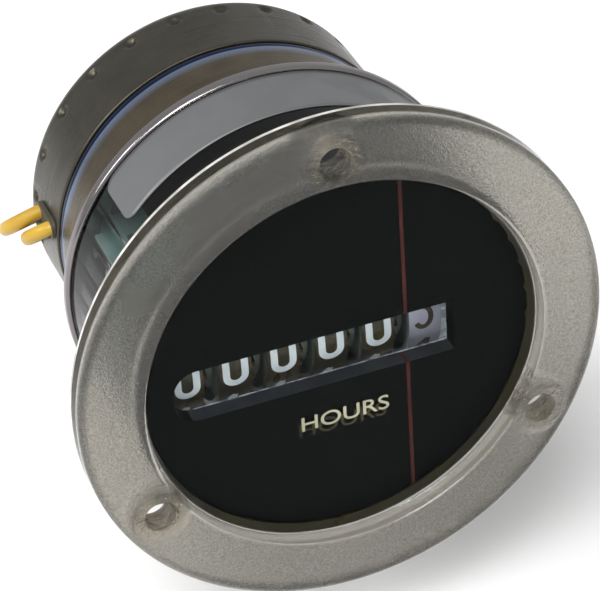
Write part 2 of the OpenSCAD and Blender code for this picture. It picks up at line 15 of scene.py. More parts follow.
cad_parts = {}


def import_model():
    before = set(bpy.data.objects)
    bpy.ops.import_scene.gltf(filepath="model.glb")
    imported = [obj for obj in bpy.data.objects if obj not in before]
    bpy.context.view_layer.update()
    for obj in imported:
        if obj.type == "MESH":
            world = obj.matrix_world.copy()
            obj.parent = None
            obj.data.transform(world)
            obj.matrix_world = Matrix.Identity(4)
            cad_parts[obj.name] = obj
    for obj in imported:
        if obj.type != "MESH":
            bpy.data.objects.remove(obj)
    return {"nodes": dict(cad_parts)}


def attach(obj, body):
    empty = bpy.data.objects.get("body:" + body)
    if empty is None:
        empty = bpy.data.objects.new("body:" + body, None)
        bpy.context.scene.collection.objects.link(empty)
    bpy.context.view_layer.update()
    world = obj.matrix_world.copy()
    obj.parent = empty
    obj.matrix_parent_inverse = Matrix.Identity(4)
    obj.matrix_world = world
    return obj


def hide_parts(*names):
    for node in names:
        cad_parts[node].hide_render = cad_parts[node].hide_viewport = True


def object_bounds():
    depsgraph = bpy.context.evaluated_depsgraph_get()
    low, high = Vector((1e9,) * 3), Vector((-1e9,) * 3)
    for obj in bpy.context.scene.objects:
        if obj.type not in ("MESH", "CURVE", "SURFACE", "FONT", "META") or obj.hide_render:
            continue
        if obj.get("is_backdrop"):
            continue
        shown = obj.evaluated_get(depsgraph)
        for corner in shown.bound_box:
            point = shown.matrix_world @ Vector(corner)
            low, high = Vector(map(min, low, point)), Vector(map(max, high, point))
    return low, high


LOG = logging.getLogger("hour_meter")
MM = 0.001
ROOT = "meter"
FLOOR_DROP = 0.0004
MERGE = 2e-7
SAME_PLACE = 1e-6
CREASE = math.radians(32.0)
HOLE_CIRCLE = 30.5
HOLE_TURNS = (90.0, 210.0, 330.0)
LETTER_T = 0.05
LETTER_STEPS = 6
Socket = bpy.types.NodeSocket
Sockets = bpy.types.bpy_prop_collection
Value = Union[float, Socket]
Screen = tuple[int, int, int]
Colour = tuple[float, float, float, float]
Place = tuple[float, float, float]
Span = tuple[float, float]
Shape = tuple[np.ndarray, np.ndarray]
Line = tuple[np.ndarray, bool]


class Slot(Enum):
    """Material slot names that some plans list beside their pieces; no piece takes its finish from them.
    """

    CLEAR = "clear_plastic"
    FOIL = "foil"
    CUP = "cup_steel"
    CAN = "can_steel"
    SEAM = "seam_blue"
    DIAL = "dial_black"
    WHEEL_WHITE = "wheel_white"
    WHEEL_BLACK = "wheel_black"
    LEAD = "lead_yellow"
    COPPER = "copper"
    BUSH = "bush_black"


def linear(screen: Screen) -> Colour:
    """Turns a screen colour from 0 to 255 into a linear colour with full alpha, by the sRGB curve."""
    share = np.array(screen) / 255.0
    light = np.where(share <= 0.04045, share / 12.92, ((share + 0.055) / 1.055) ** 2.4)
    return (*light.tolist(), 1.0)


class NodeBoard:
    """Lays nodes into one tree and joins their sockets."""

    def __init__(self, tree: bpy.types.NodeTree) -> None:
        """Keeps the tree that is filled."""
        self.tree = tree

    def add(self, kind: str, **settings: object) -> bpy.types.Node:
        """Adds a node of Blender's type kind, with the given properties."""
        node = self.tree.nodes.new(kind)
        for key, value in settings.items():
            setattr(node, key, value)
        return node

    def feed(self, target: Socket, value: object) -> None:
        """Joins a socket to the target, or writes a plain value into it."""
        if isinstance(value, bpy.types.NodeSocket):
            self.tree.links.new(value, target)
        else:
            target.default_value = value

    def fill(self, node: bpy.types.Node, **values: object) -> bpy.types.Node:
        """Feeds a node's inputs by name, with underscores for spaces, and gives the node."""
        for key, value in values.items():
            self.feed(node.inputs[key.replace("_", " ")], value)
        return node

    def lay(self, kind: str, *values: object, **settings: object) -> Socket:
        """Adds a node, feeds its first inputs in order and gives its first output."""
        node = self.add(kind, **settings)
        for socket, value in zip(node.inputs, values):
            self.feed(socket, value)
        return node.outputs[0]

    def math(self, operation: str, first: Value, second: Value = 0.0) -> Socket:
        """Adds a math node of Blender's operation and gives its result."""
        return self.lay("ShaderNodeMath", first, second, operation=operation)

    def times(self, *parts: Value) -> Socket:
        """Multiplies numbers and sockets in order."""
        return reduce(lambda first, second: self.math("MULTIPLY", first, second), parts)

    def rise(self, value: Value, low: float, high: float, bottom: Value = 0.0,
             top: Value = 1.0) -> Socket:
        """Maps a value smoothly from the span low to high onto the span bottom to top."""
        return self.lay("ShaderNodeMapRange", value, low, high, bottom, top,
                        interpolation_type="SMOOTHSTEP")

    def ramp(self, value: Socket, start: float, length: float, *ends: float) -> Socket:
        """Maps a place smoothly, from a start and over a length in millimetres, onto two ends."""
        return self.rise(value, start * MM, (start + length) * MM, *ends)

    def mix(self, share: Value, first: object, second: object) -> Socket:
        """Mixes two colours, with the given share of the second."""
        node = self.add("ShaderNodeMix", data_type="RGBA")
        for number, value in ((0, share), (6, first), (7, second)):
            self.feed(node.inputs[number], value)
        return node.outputs[2]

    def where(self) -> Socket:
        """Gives Object coordinates."""
        return self.add("ShaderNodeTexCoord").outputs["Object"]

    def place(self) -> tuple[Socket, ...]:
        """Gives the X, Y and Z sockets of Object coordinates."""
        return tuple(self.fill(self.add("ShaderNodeSeparateXYZ"), Vector=self.where()).outputs)

    def length(self, first: Value, second: Value) -> Socket:
        """Gives the length of the flat vector with the two given parts."""
        return self.math("SQRT", self.math("ADD", self.times(first, first),
                                           self.times(second, second)))

    def noise(self, vector: Socket, scale: Value, detail: float, rough: float = 0.55) -> Socket:
        """Adds a noise texture with a scale per metre, octaves and the finer octaves' weight."""
        node = self.add("ShaderNodeTexNoise")
        return self.fill(node, Vector=vector, Scale=scale, Detail=detail, Roughness=rough).outputs[0]


class Effects:
    """Shader groups that more than one finish uses, each built once."""

    SLOW = 0.06
    PATCH = (0.32, 0.68)
    TURN = 1.4
    STREAK = (0.3, 0.7)
    SCRATCH_TURN = (0.5, 0.8, 0.3)
    SCRATCH_SCALE = (1.0, 0.12, 1.0)
    SPOT_SCALE = 0.35
    MARK_EDGE = 0.78
    MARK_GAIN = 0.3
    MARK_SOFT = 0.06

    def __init__(self) -> None:
        """Builds the groups."""
        self.grain = self._grain()
        self.drawn = self._drawn()
        self.marks = self._marks()

    @staticmethod
    def _begin(name: str, inputs: Sequence[str],
               outputs: Sequence[str]) -> tuple[NodeBoard, Sockets, bpy.types.Node]:
        """Starts a group with float sockets.

        Args:
            name: the group's name.
            inputs: names of its inputs.
            outputs: names of its outputs.

        Returns:
            The board, the inputs' sockets by name and the node that takes the outputs.
        """
        tree = bpy.data.node_groups.new(name, "ShaderNodeTree")
        for way, labels in (("INPUT", inputs), ("OUTPUT", outputs)):
            for label in labels:
                tree.interface.new_socket(name=label, in_out=way, socket_type="NodeSocketFloat")
        board = NodeBoard(tree)
        entry, end = board.add("NodeGroupInput"), board.add("NodeGroupOutput")
        return board, entry.outputs, end

    def _grain(self) -> bpy.types.NodeTree:
        """Builds a fine moulded grain with slow patches."""
        board, given, end = self._begin("fine_grain", ["Scale"], ["Height", "Patch"])
        where = board.where()
        slow = board.noise(where, board.times(given["Scale"], self.SLOW), 2.0)
        board.fill(end, Height=board.noise(where, given["Scale"], 3.0, 0.6),
                   Patch=board.rise(slow, *self.PATCH))
        return board.tree

    def _drawn(self) -> bpy.types.NodeTree:
        """Builds lines that run round the meter's axis, as drawing and spinning leave on sheet."""
        board, given, end = self._begin("drawn_lines", ["Lines"], ["Height", "Streak"])
        x, y, z = board.place()
        vector = board.lay("ShaderNodeCombineXYZ", board.times(board.length(x, z), given["Lines"]),
                           board.times(y, given["Lines"]),
                           board.times(board.math("ARCTAN2", z, x), self.TURN))
        lines = board.noise(vector, 1.0, 4.0, 0.65)
        board.fill(end, Height=lines, Streak=board.rise(lines, *self.STREAK))
        return board.tree

    def _marks(self) -> bpy.types.NodeTree:
        """Builds sparse handling marks: thin scratches and rubbed spots."""
        board, given, end = self._begin("handling_marks", ["Scale", "Share"], ["Mask"])
        where = board.where()
        slant = board.fill(board.add("ShaderNodeMapping"), Vector=where, Rotation=self.SCRATCH_TURN,
                           Scale=self.SCRATCH_SCALE)
        thin = board.noise(slant.outputs[0], given["Scale"], 2.0, 0.5)
        spots = board.noise(where, board.times(given["Scale"], self.SPOT_SCALE), 3.0, 0.6)
        edge = board.math("SUBTRACT", self.MARK_EDGE, board.times(given["Share"], self.MARK_GAIN))
        both = board.math("MAXIMUM", board.math("SUBTRACT", thin, edge),
                          board.math("SUBTRACT", spots, edge))
        board.fill(end, Mask=board.rise(both, 0.0, self.MARK_SOFT))
        return board.tree

    @staticmethod
    def use(board: NodeBoard, tree: bpy.types.NodeTree, **values: float) -> Sockets:
        """Places a group in a material, with its inputs by name, and gives its outputs."""
        return board.fill(board.add("ShaderNodeGroup", node_tree=tree), **values).outputs


@dataclass(frozen=True)
class Finish:
    """A moulded, plain or painted surface with fine grain and slow patches of tone."""

    name: str
    colour: Screen
    tone: Screen
    roughness: float = 0.45
    spread: float = 0.12
    metallic: float = 0.0
    specular: float = 0.4
    grain: float = 2500.0
    relief: float = 0.02
    marks: float = 0.2
    mark_scale: float = 900.0

    def build(self, effects: Effects) -> bpy.types.Material:
        """Makes the material.

        Args:
            effects: the shared shader groups.

        Returns:
            The material, with a surface shader that paint() has filled.
        """
        material = bpy.data.materials.new(self.name)
        material.use_nodes = True
        board = NodeBoard(material.node_tree)
        board.tree.nodes.clear()
        surface = board.add("ShaderNodeBsdfPrincipled")
        board.fill(board.add("ShaderNodeOutputMaterial"), Surface=surface.outputs[0])
        board.fill(surface, Metallic=self.metallic, Specular_IOR_Level=self.specular)
        self.paint(board, surface, effects)
        return material

    def paint(self, board: NodeBoard, surface: bpy.types.Node, effects: Effects) -> None:
        """Fills the surface shader.

        Args:
            board: the material's board.
            surface: its surface shader.
            effects: the shared shader groups.
        """
        grain = effects.use(board, effects.grain, Scale=self.grain)
        rough = self.worn(board, effects, self.rough(board, grain["Patch"]), "SUBTRACT")
        board.fill(surface, Base_Color=self.tones(board, grain["Patch"]), Roughness=rough)
        self.bump(board, surface, grain["Height"])

    def tones(self, board: NodeBoard, share: Socket) -> Socket:
        """Mixes the finish's two tones."""
        return board.mix(share, linear(self.colour), linear(self.tone))

    def rough(self, board: NodeBoard, share: Socket) -> Socket:
        """Gives a roughness that swings by the spread as the share goes from 0 to 1."""
        return board.rise(share, 0.0, 1.0, self.roughness - self.spread, self.roughness + self.spread)

    def worn(self, board: NodeBoard, effects: Effects, rough: Value, operation: str) -> Socket:
        """Changes a roughness by the spread where there are handling marks."""
        marks = effects.use(board, effects.marks, Scale=self.mark_scale, Share=self.marks)
        return board.math(operation, rough, board.times(marks["Mask"], self.spread))

    def bump(self, board: NodeBoard, surface: bpy.types.Node, height: Socket) -> None:
        """Feeds a height, as deep as the finish's relief in millimetres, to the surface."""
        node = board.add("ShaderNodeBump")
        board.fill(node, Strength=1.0, Distance=self.relief * MM, Height=height)
        board.fill(surface, Normal=node.outputs[0])


@dataclass(frozen=True)
class DrawnMetal(Finish):
    """Drawn sheet metal with lines round the meter's axis. Places along the axis are in millimetres."""

    metallic: float = 1.0
    mark_scale: float = 700.0
    lines: float = 9000.0
    # bright is a lighter colour for a polished zone, partly painted highlight; tail is a band of painted
    # sheen.
    bright: Optional[Screen] = None
    polish_highlight_end: float = 0.0
    bright_roughness: float = 0.12
    blend: float = 0.15
    tail: Optional[Screen] = None
    painted_sheen_from: float = 0.0
    painted_sheen_len: float = 1.6

    def paint(self, board: NodeBoard, surface: bpy.types.Node, effects: Effects) -> None:
        """Fills the shader, with a polished zone up to polish_highlight_end whose lighter colour is partly
        painted highlight, and a band of painted sheen where they are given.
        """
        lines = effects.use(board, effects.drawn, Lines=self.lines)
        grain = effects.use(board, effects.grain, Scale=self.grain)
        colour = self.tones(board, board.times(grain["Patch"], lines["Streak"]))
        rough = self.worn(board, effects, self.rough(board, lines["Streak"]), "SUBTRACT")
        # Polished zone whose lighter colour is partly painted highlight.
        if self.bright is not None:
            start = self.polish_highlight_end - self.blend
            zone = board.ramp(board.place()[1], start, 2.0 * self.blend, 1.0, 0.0)
            colour = board.mix(zone, colour, linear(self.bright))
            change = board.math("SUBTRACT", self.bright_roughness, rough)
            rough = board.math("ADD", rough, board.times(zone, change))
        # Band of painted sheen.
        if self.tail is not None:
            end = board.ramp(board.place()[1], self.painted_sheen_from, self.painted_sheen_len)
            colour = board.mix(end, colour, linear(self.tail))
        board.fill(surface, Base_Color=colour, Roughness=rough)
        self.bump(board, surface, lines["Height"])


@dataclass(frozen=True)
class ClearPlastic(Finish):
    """Polished clear plastic with a little handling."""

    roughness: float = 0.02
    mark_scale: float = 500.0
    ior: float = 1.3

    def paint(self, board: NodeBoard, surface: bpy.types.Node, effects: Effects) -> None:
        """Fills the shader, which lets all light through and is rougher at the marks."""
        grain = effects.use(board, effects.grain, Scale=self.grain)
        board.fill(surface, Transmission_Weight=1.0, IOR=self.ior,
                   Base_Color=self.tones(board, grain["Patch"]),
                   Roughness=self.worn(board, effects, self.roughness, "ADD"))


@dataclass(frozen=True)
class FrostedRing(Finish):
    """Clear plastic with a frosted face, polished at the holes and both walls. Its side colour is painted
    shade on the outer wall, its edge colour a painted highlight at the rear edge and its inner colour
    painted light on the inner wall.

    Each zone is where it starts and how far it takes to change, in millimetres.
    """

    ior: float = 1.42
    see_through: float = 0.92
    polish: float = 0.06
    ripple: float = 8.0
    coarse: float = 0.35
    speckle: Span = (0.36, 0.64)
    clear_zone: Span = (3.0, 1.2)
    bore_zone: Span = (2.2, 0.15)
    side_zone: Span = (-3.1, 0.7)
    edge_highlight_zone: Span = (-0.45, 0.15)
    inner_zone: Span = (27.1, 0.4)
    # edge is a painted highlight at the rear edge, side is painted shade on the side wall, inner is
    # painted light on the inner wall.
    edge: Screen = (190, 187, 180)
    side: Screen = (78, 73, 64)
    inner: Screen = (166, 164, 158)
    bore: Screen = (150, 141, 124)
    near: Screen = (140, 131, 108)

    @staticmethod
    def to_hole(board: NodeBoard, x: Socket, z: Socket) -> Socket:
        """Gives the distance from the nearest hole's centre to the place x across and z up."""
        nearest: Value = 1.0
        for turn in map(math.radians, HOLE_TURNS):
            dx = board.math("SUBTRACT", x, HOLE_CIRCLE * MM * math.cos(turn))
            dz = board.math("SUBTRACT", z, HOLE_CIRCLE * MM * math.sin(turn))
            nearest = board.math("MINIMUM", nearest, board.length(dx, dz))
        return nearest

    def paint(self, board: NodeBoard, surface: bpy.types.Node, effects: Effects) -> None:
        """Fills the shader: frost and speckle on the face, polish of each zone, and a tint of each zone,
        which is painted shade on the side wall, a painted highlight at the rear edge and painted light on
        the inner wall.
        """
        grain = effects.use(board, effects.grain, Scale=self.grain)
        coarse = effects.use(board, effects.grain, Scale=self.grain * self.coarse)
        x, y, z = board.place()
        hole = self.to_hole(board, x, z)
        away = board.ramp(hole, *self.clear_zone)
        close = board.math("SUBTRACT", 1.0, away)
        face = board.ramp(y, *self.side_zone, 1.0, 0.0)
        outside = board.ramp(board.length(x, z), *self.inner_zone)
        frost = board.times(away, face, outside)
        colour = board.mix(board.rise(grain["Height"], *self.speckle), linear(self.tone),
                           linear(self.colour))
        # Painted shade on the side wall, a painted highlight at the rear edge and painted light on the
        # inner wall.
        colour = board.mix(face, linear(self.side), colour)
        colour = board.mix(board.ramp(y, *self.edge_highlight_zone), colour, linear(self.edge))
        colour = board.mix(outside, linear(self.inner), colour)
        colour = board.mix(board.times(close, coarse["Patch"]), colour, linear(self.near))
        colour = board.mix(board.ramp(hole, *self.bore_zone, 1.0, 0.0), colour, linear(self.bore))
        rough = board.times(self.rough(board, coarse["Patch"]), frost)
        board.fill(surface, Transmission_Weight=self.see_through, IOR=self.ior, Base_Color=colour,
                   Roughness=board.math("MAXIMUM", rough, self.polish))
        fine = board.times(board.math("ADD", grain["Height"], coarse["Height"]), frost)
        rugged = board.times(coarse["Height"], board.times(close, self.ripple))
        self.bump(board, surface, board.math("ADD", fine, rugged))


PLANS = (
    ClearPlastic("clear_window", (252, 253, 252), (249, 250, 249), ior=1.07, marks=0.1, spread=0.05),
    ClearPlastic("clear_case", (190, 191, 189), (180, 182, 180), ior=1.2, specular=0.15, marks=0.3),
    # Side wall tint: painted shade, a dark brown for the shaded inside seen through the wall.
    ClearPlastic("clear_wall_painted_shade", (92, 86, 75), (78, 73, 64), ior=1.12, marks=0.3),
    FrostedRing("frosted_ring", (153, 149, 138), (110, 107, 99), roughness=0.24, spread=0.08,
                grain=3800.0, relief=0.1),
    # Painted highlight: the bright line along the flange's back edge.
    Finish("rim_painted_highlight", (206, 205, 200), (150, 148, 142), roughness=0.25, specular=0.6, grain=6000.0),
    # Painted shade: a dark olive on the front end of the clear case.
    Finish("case_front_painted_shade", (38, 35, 15), (28, 26, 11), roughness=0.4, grain=1500.0),
    Finish("dial_black", (9, 11, 11), (12, 14, 14), roughness=0.6, specular=0.02, grain=4000.0),
    Finish("slot_edge", (176, 184, 196), (44, 50, 62), roughness=0.3, specular=0.6, grain=16000.0),
    # Painted light: the black plate's upward ledge in the slot, in a lighter bluish tone.
    Finish("slot_ledge_painted_light", (36, 40, 45), (28, 31, 35), roughness=0.5, specular=0.2, grain=4000.0),
    Finish("legend_ink", (190, 186, 160), (170, 166, 140), roughness=0.5, grain=5000.0),
    # Painted reflection: a faint yellowish copy of the legend, offset below it.
    Finish("legend_painted_reflection", (54, 48, 12), (36, 32, 9), roughness=0.6, grain=5000.0),
    Finish("stripe_ink", (74, 34, 32), (60, 27, 26), roughness=0.55, specular=0.1, grain=3000.0),
    Finish("digit_white", (226, 236, 242), (212, 222, 230), roughness=0.5, grain=4000.0),
    Finish("digit_dark", (66, 60, 46), (50, 47, 40), roughness=0.5, grain=4000.0),
    Finish("wheel_black", (64, 58, 40), (44, 42, 33), roughness=0.36, specular=0.3, grain=3000.0),
    Finish("wheel_white", (166, 168, 182), (152, 155, 170), roughness=0.4, grain=3000.0),
    # Painted light and shade in the wheels' hollows: lighter than the black wheels, darker than the white
    # tenths.
    Finish("hollow_painted_shading", (146, 158, 152), (120, 132, 126), roughness=0.5, grain=3000.0),
    Finish("crown_white", (216, 228, 238), (198, 212, 224), roughness=0.4, grain=3000.0),
    Finish("carry_grey", (156, 164, 162), (132, 140, 138), grain=3000.0),
    Finish("frame_green", (152, 196, 194), (126, 170, 168)),
    Finish("nylon", (226, 221, 205), (208, 202, 184), roughness=0.5, grain=3000.0),
    Finish("foil", (96, 98, 99), (93, 95, 96), roughness=0.4, spread=0.05, metallic=0.25,
           grain=3500.0, relief=0.01),
    Finish("magnet_grey", (58, 58, 61), (46, 46, 50), roughness=0.6, grain=1800.0, relief=0.04),
    Finish("copper", (196, 120, 72), (168, 96, 56), roughness=0.3, metallic=1.0),
    Finish("bush_black", (70, 66, 54), (56, 53, 44), roughness=0.6, relief=0.03),
    Finish("wire_yellow", (186, 150, 42), (164, 128, 34), roughness=0.42, spread=0.08, grain=1500.0),
    DrawnMetal("bright_steel", (190, 190, 188), (165, 165, 164), roughness=0.25),
    # Painted shade: the gear plate in near black, so the band under the label stays dark.
    DrawnMetal("plate_painted_shade", (22, 20, 17), (16, 15, 13), roughness=0.55, relief=0.002, lines=900.0),
    # Cup: polished lip, lighter in part as painted highlight, and a light-blue band of painted sheen
    # towards the seam.
    DrawnMetal("cup_steel", (88, 80, 66), (66, 61, 52), roughness=0.26, spread=0.1, relief=0.012,
               marks=0.4, bright=(122, 118, 119), polish_highlight_end=24.75, tail=(106, 118, 138),
               painted_sheen_from=33.5, painted_sheen_len=1.7),
    DrawnMetal("can_steel", (73, 70, 62), (56, 54, 48), roughness=0.34, marks=0.5),
    # Seam band: the light-blue line at its front edge is a painted highlight.
    DrawnMetal("seam_band", (32, 42, 68), (20, 27, 46), roughness=0.2, spread=0.08, relief=0.008,
               bright=(128, 148, 178), polish_highlight_end=35.3, bright_roughness=0.16),
    DrawnMetal("pole_steel", (150, 150, 152), (128, 128, 132), roughness=0.4),
)


class Finishes:
    """Every finish of the meter by name, made into a material when first asked for."""

    def __init__(self) -> None:
        """Starts with no material made."""
        self._effects = Effects()
        self._plans = {plan.name: plan for plan in PLANS}
        self._made: dict[str, bpy.types.Material] = {}

    def get(self, name: str) -> bpy.types.Material:
        """Gives a finish's material, made on the first call."""
        if name not in self._made:
            self._made[name] = self._plans[name].build(self._effects)
        return self._made[name]

    def cover(self, mesh: bpy.types.Mesh, names: Sequence[str],
              zones: Sequence[np.ndarray] = ()) -> None:
        """Gives a mesh the first finish, and each zone of its faces the next one.

        Args:
            mesh: the mesh.
            names: one finish more than there are zones.
            zones: a mask of the faces for each zone; the first that holds counts.
        """
        mesh.materials.clear()
        for name in names:
            mesh.materials.append(self.get(name))
        if zones:
            numbers = np.select(zones, list(range(1, len(names))), 0).astype(np.int32)
            mesh.polygons.foreach_set("material_index", numbers)


def grid_faces(rows: int, columns: int, wrap: bool) -> np.ndarray:
    """Gives the quads of a grid of points.

    Args:
        rows: number of rows.
        columns: number of points in a row.
        wrap: whether each row closes on itself.

    Returns:
        Four point numbers for each quad.
    """
    across = columns if wrap else columns - 1
    row, column = np.meshgrid(np.arange(rows - 1), np.arange(across), indexing="ij")
    here, below, after = row * columns, (row + 1) * columns, (column + 1) % columns
    corners = [here + column, here + after, below + after, below + column]
    return np.stack(corners, axis=-1).reshape(-1, 4)


def revolve(profile: np.ndarray, segments: int) -> Shape:
    """Turns a profile about the meter's axis: each radius and depth becomes a circle.

    Args:
        profile: radius and depth of each point, in millimetres.
        segments: number of points round a circle.

    Returns:
        Points in metres and quads.
    """
    turn = np.linspace(0.0, 2.0 * np.pi, segments, endpoint=False)
    radius, depth = profile[:, :1], profile[:, 1:]
    rings = [radius * np.cos(turn), depth + 0.0 * turn, radius * np.sin(turn)]
    return np.stack(rings, axis=-1).reshape(-1, 3) * MM, grid_faces(len(profile), segments, True)


def arc(centre: Sequence[float], radius: float, start: float, end: float, steps: int) -> np.ndarray:
    """Gives points on an arc: the centre plus the radius along each of evenly spaced angles.

    Args:
        centre: the arc's centre.
        radius: its radius.
        start: first angle in degrees.
        end: last angle in degrees.
        steps: number of spans.

    Returns:
        The points.
    """
    angle = np.radians(np.linspace(start, end, steps + 1))
    return np.asarray(centre) + radius * np.stack([np.cos(angle), np.sin(angle)], axis=-1)


def respace(line: np.ndarray, step: float, least: int) -> np.ndarray:
    """Lays evenly spaced points along a line, each by its share of the line's length.

    Args:
        line: the line's points.
        step: about how far the new points are apart.
        least: least number of spans.

    Returns:
        The new points.
    """
    spans = np.linalg.norm(np.diff(line, axis=0), axis=1)
    reach = np.concatenate([[0.0], np.cumsum(spans)])
    keep = np.concatenate([[True], np.diff(reach) > SAME_PLACE])
    even = np.linspace(0.0, reach[-1], max(int(reach[-1] / step), least) + 1)
    return np.stack([np.interp(even, reach[keep], part) for part in line[keep].T], axis=-1)


def tube(path: np.ndarray, radius: np.ndarray, sides: int, side: Sequence[float]) -> Shape:
    """Carries a circle along a path: at each point it lies across the path, set by a side direction.

    Args:
        path: points in metres.
        radius: radius at each point, in metres.
        sides: number of points round the circle.
        side: direction that is never along the path.

    Returns:
        Points and quads, open at both ends.
    """
    along = np.gradient(path, axis=0)
    along /= np.linalg.norm(along, axis=1, keepdims=True)
    first = np.cross(along, np.asarray(side, float))
    first /= np.linalg.norm(first, axis=1, keepdims=True)
    second = np.cross(first, along)
    turn = np.linspace(0.0, 2.0 * np.pi, sides, endpoint=False)[:, None]
    ring = first[:, None] * np.cos(turn) + second[:, None] * np.sin(turn)
    points = path[:, None] + radius[:, None, None] * ring
    return points.reshape(-1, 3), grid_faces(len(path), sides, True)


def join_shapes(shapes: Sequence[Shape]) -> Shape:
    """Puts shapes of quads into one."""
    starts = np.cumsum([0] + [len(points) for points, _ in shapes[:-1]])
    faces = [quads + start for (_, quads), start in zip(shapes, starts)]
    return np.concatenate([points for points, _ in shapes]), np.concatenate(faces)


def link(name: str, data: Optional[bpy.types.ID]) -> bpy.types.Object:
    """Makes an object of some data and links it to the scene."""
    item = bpy.data.objects.new(name, data)
    bpy.context.scene.collection.objects.link(item)
    return item


def clean_mesh(name: str, shape: Shape, fill: bool = False) -> bpy.types.Mesh:
    """Makes a mesh with doubled points merged and its faces outwards.

    Args:
        name: the mesh's name.
        shape: points in metres and faces.
        fill: whether open ends are filled.

    Returns:
        The mesh.
    """
    mesh = bpy.data.meshes.new(name)
    mesh.from_pydata(shape[0].tolist(), [], shape[1].tolist())
    work = bmesh.new()
    work.from_mesh(mesh)
    bmesh.ops.remove_doubles(work, verts=work.verts, dist=MERGE)
    rims = [edge for edge in work.edges if edge.is_boundary] if fill else []
    if rims:
        bmesh.ops.holes_fill(work, edges=rims, sides=0)
    bmesh.ops.recalc_face_normals(work, faces=work.faces)
    work.to_mesh(mesh)
    work.free()
    return mesh


def smooth(mesh: bpy.types.Mesh) -> None:
    """Shades a mesh smooth, with its sharp edges kept."""
    mesh.shade_smooth()
    mesh.set_sharp_from_angle(angle=CREASE)


def new_piece(name: str, shape: Shape, finish: bpy.types.Material,
              fill: bool = False) -> bpy.types.Object:
    """Makes an object from points and faces.

    Args:
        name: the piece's name.
        shape: points in metres and faces.
        finish: its material.
        fill: whether open ends are filled.

    Returns:
        The object, linked to the scene.
    """
    mesh = clean_mesh(name, shape, fill)
    smooth(mesh)
    mesh.materials.append(finish)
    piece = link(name, mesh)
    LOG.info("%s: %d faces", name, len(mesh.polygons))
    return piece


def settle(piece: bpy.types.Object, *nodes: str, body: str = ROOT) -> None:
    """Lets a piece ride on a body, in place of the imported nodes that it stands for."""
    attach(piece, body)
    if nodes:
        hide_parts(*nodes)


def face_values(mesh: bpy.types.Mesh, name: str) -> np.ndarray:
    """Reads one vector of each face: its "center" or its "normal"."""
    values = np.zeros(len(mesh.polygons) * 3)
    mesh.polygons.foreach_get(name, values)
    return values.reshape(-1, 3)


def final_mesh(piece: bpy.types.Object) -> bpy.types.Mesh:
    """Gives a new mesh of an object with its modifiers applied."""
    graph = bpy.context.evaluated_depsgraph_get()
    return bpy.data.meshes.new_from_object(piece.evaluated_get(graph))


def carve(piece: bpy.types.Object, cutter: bpy.types.Object) -> None:
    """Cuts one piece out of another, for good, and removes the cutter."""
    step = piece.modifiers.new("carve", "BOOLEAN")
    step.operation, step.solver, step.object = "DIFFERENCE", "EXACT", cutter
    bpy.context.view_layer.update()
    carved = final_mesh(piece)
    piece.modifiers.clear()
    piece.data = carved
    bpy.data.objects.remove(cutter)


def lettering(text: str, size: Place, weight: float) -> Shape:
    """Makes flat letters of an exact size, centred on the origin and standing on Z 0.

    Args:
        text: the letters.
        size: width, height and thickness of the whole in millimetres.
        weight: how much the strokes are thickened.

    Returns:
        Points with X across, Y up and Z towards the reader, and triangles.
    """
    curve = bpy.data.curves.new("lettering", "FONT")
    curve.body, curve.offset = text, weight
    curve.extrude, curve.resolution_u = LETTER_T, LETTER_STEPS
    holder = link("lettering", curve)
    mesh = final_mesh(holder)
    mesh.calc_loop_triangles()
    points = np.zeros(len(mesh.vertices) * 3)
    mesh.vertices.foreach_get("co", points)
    corners = np.zeros(len(mesh.loop_triangles) * 3, int)
    mesh.loop_triangles.foreach_get("vertices", corners)
    bpy.data.objects.remove(holder)
    bpy.data.curves.remove(curve)
    bpy.data.meshes.remove(mesh)
    points = points.reshape(-1, 3)
    low, high = points.min(0), points.max(0)
    points = (points - (low + high) / 2) / (high - low) * np.array(size)
    points[:, 2] += size[2] / 2
    return points, corners.reshape(-1, 3)


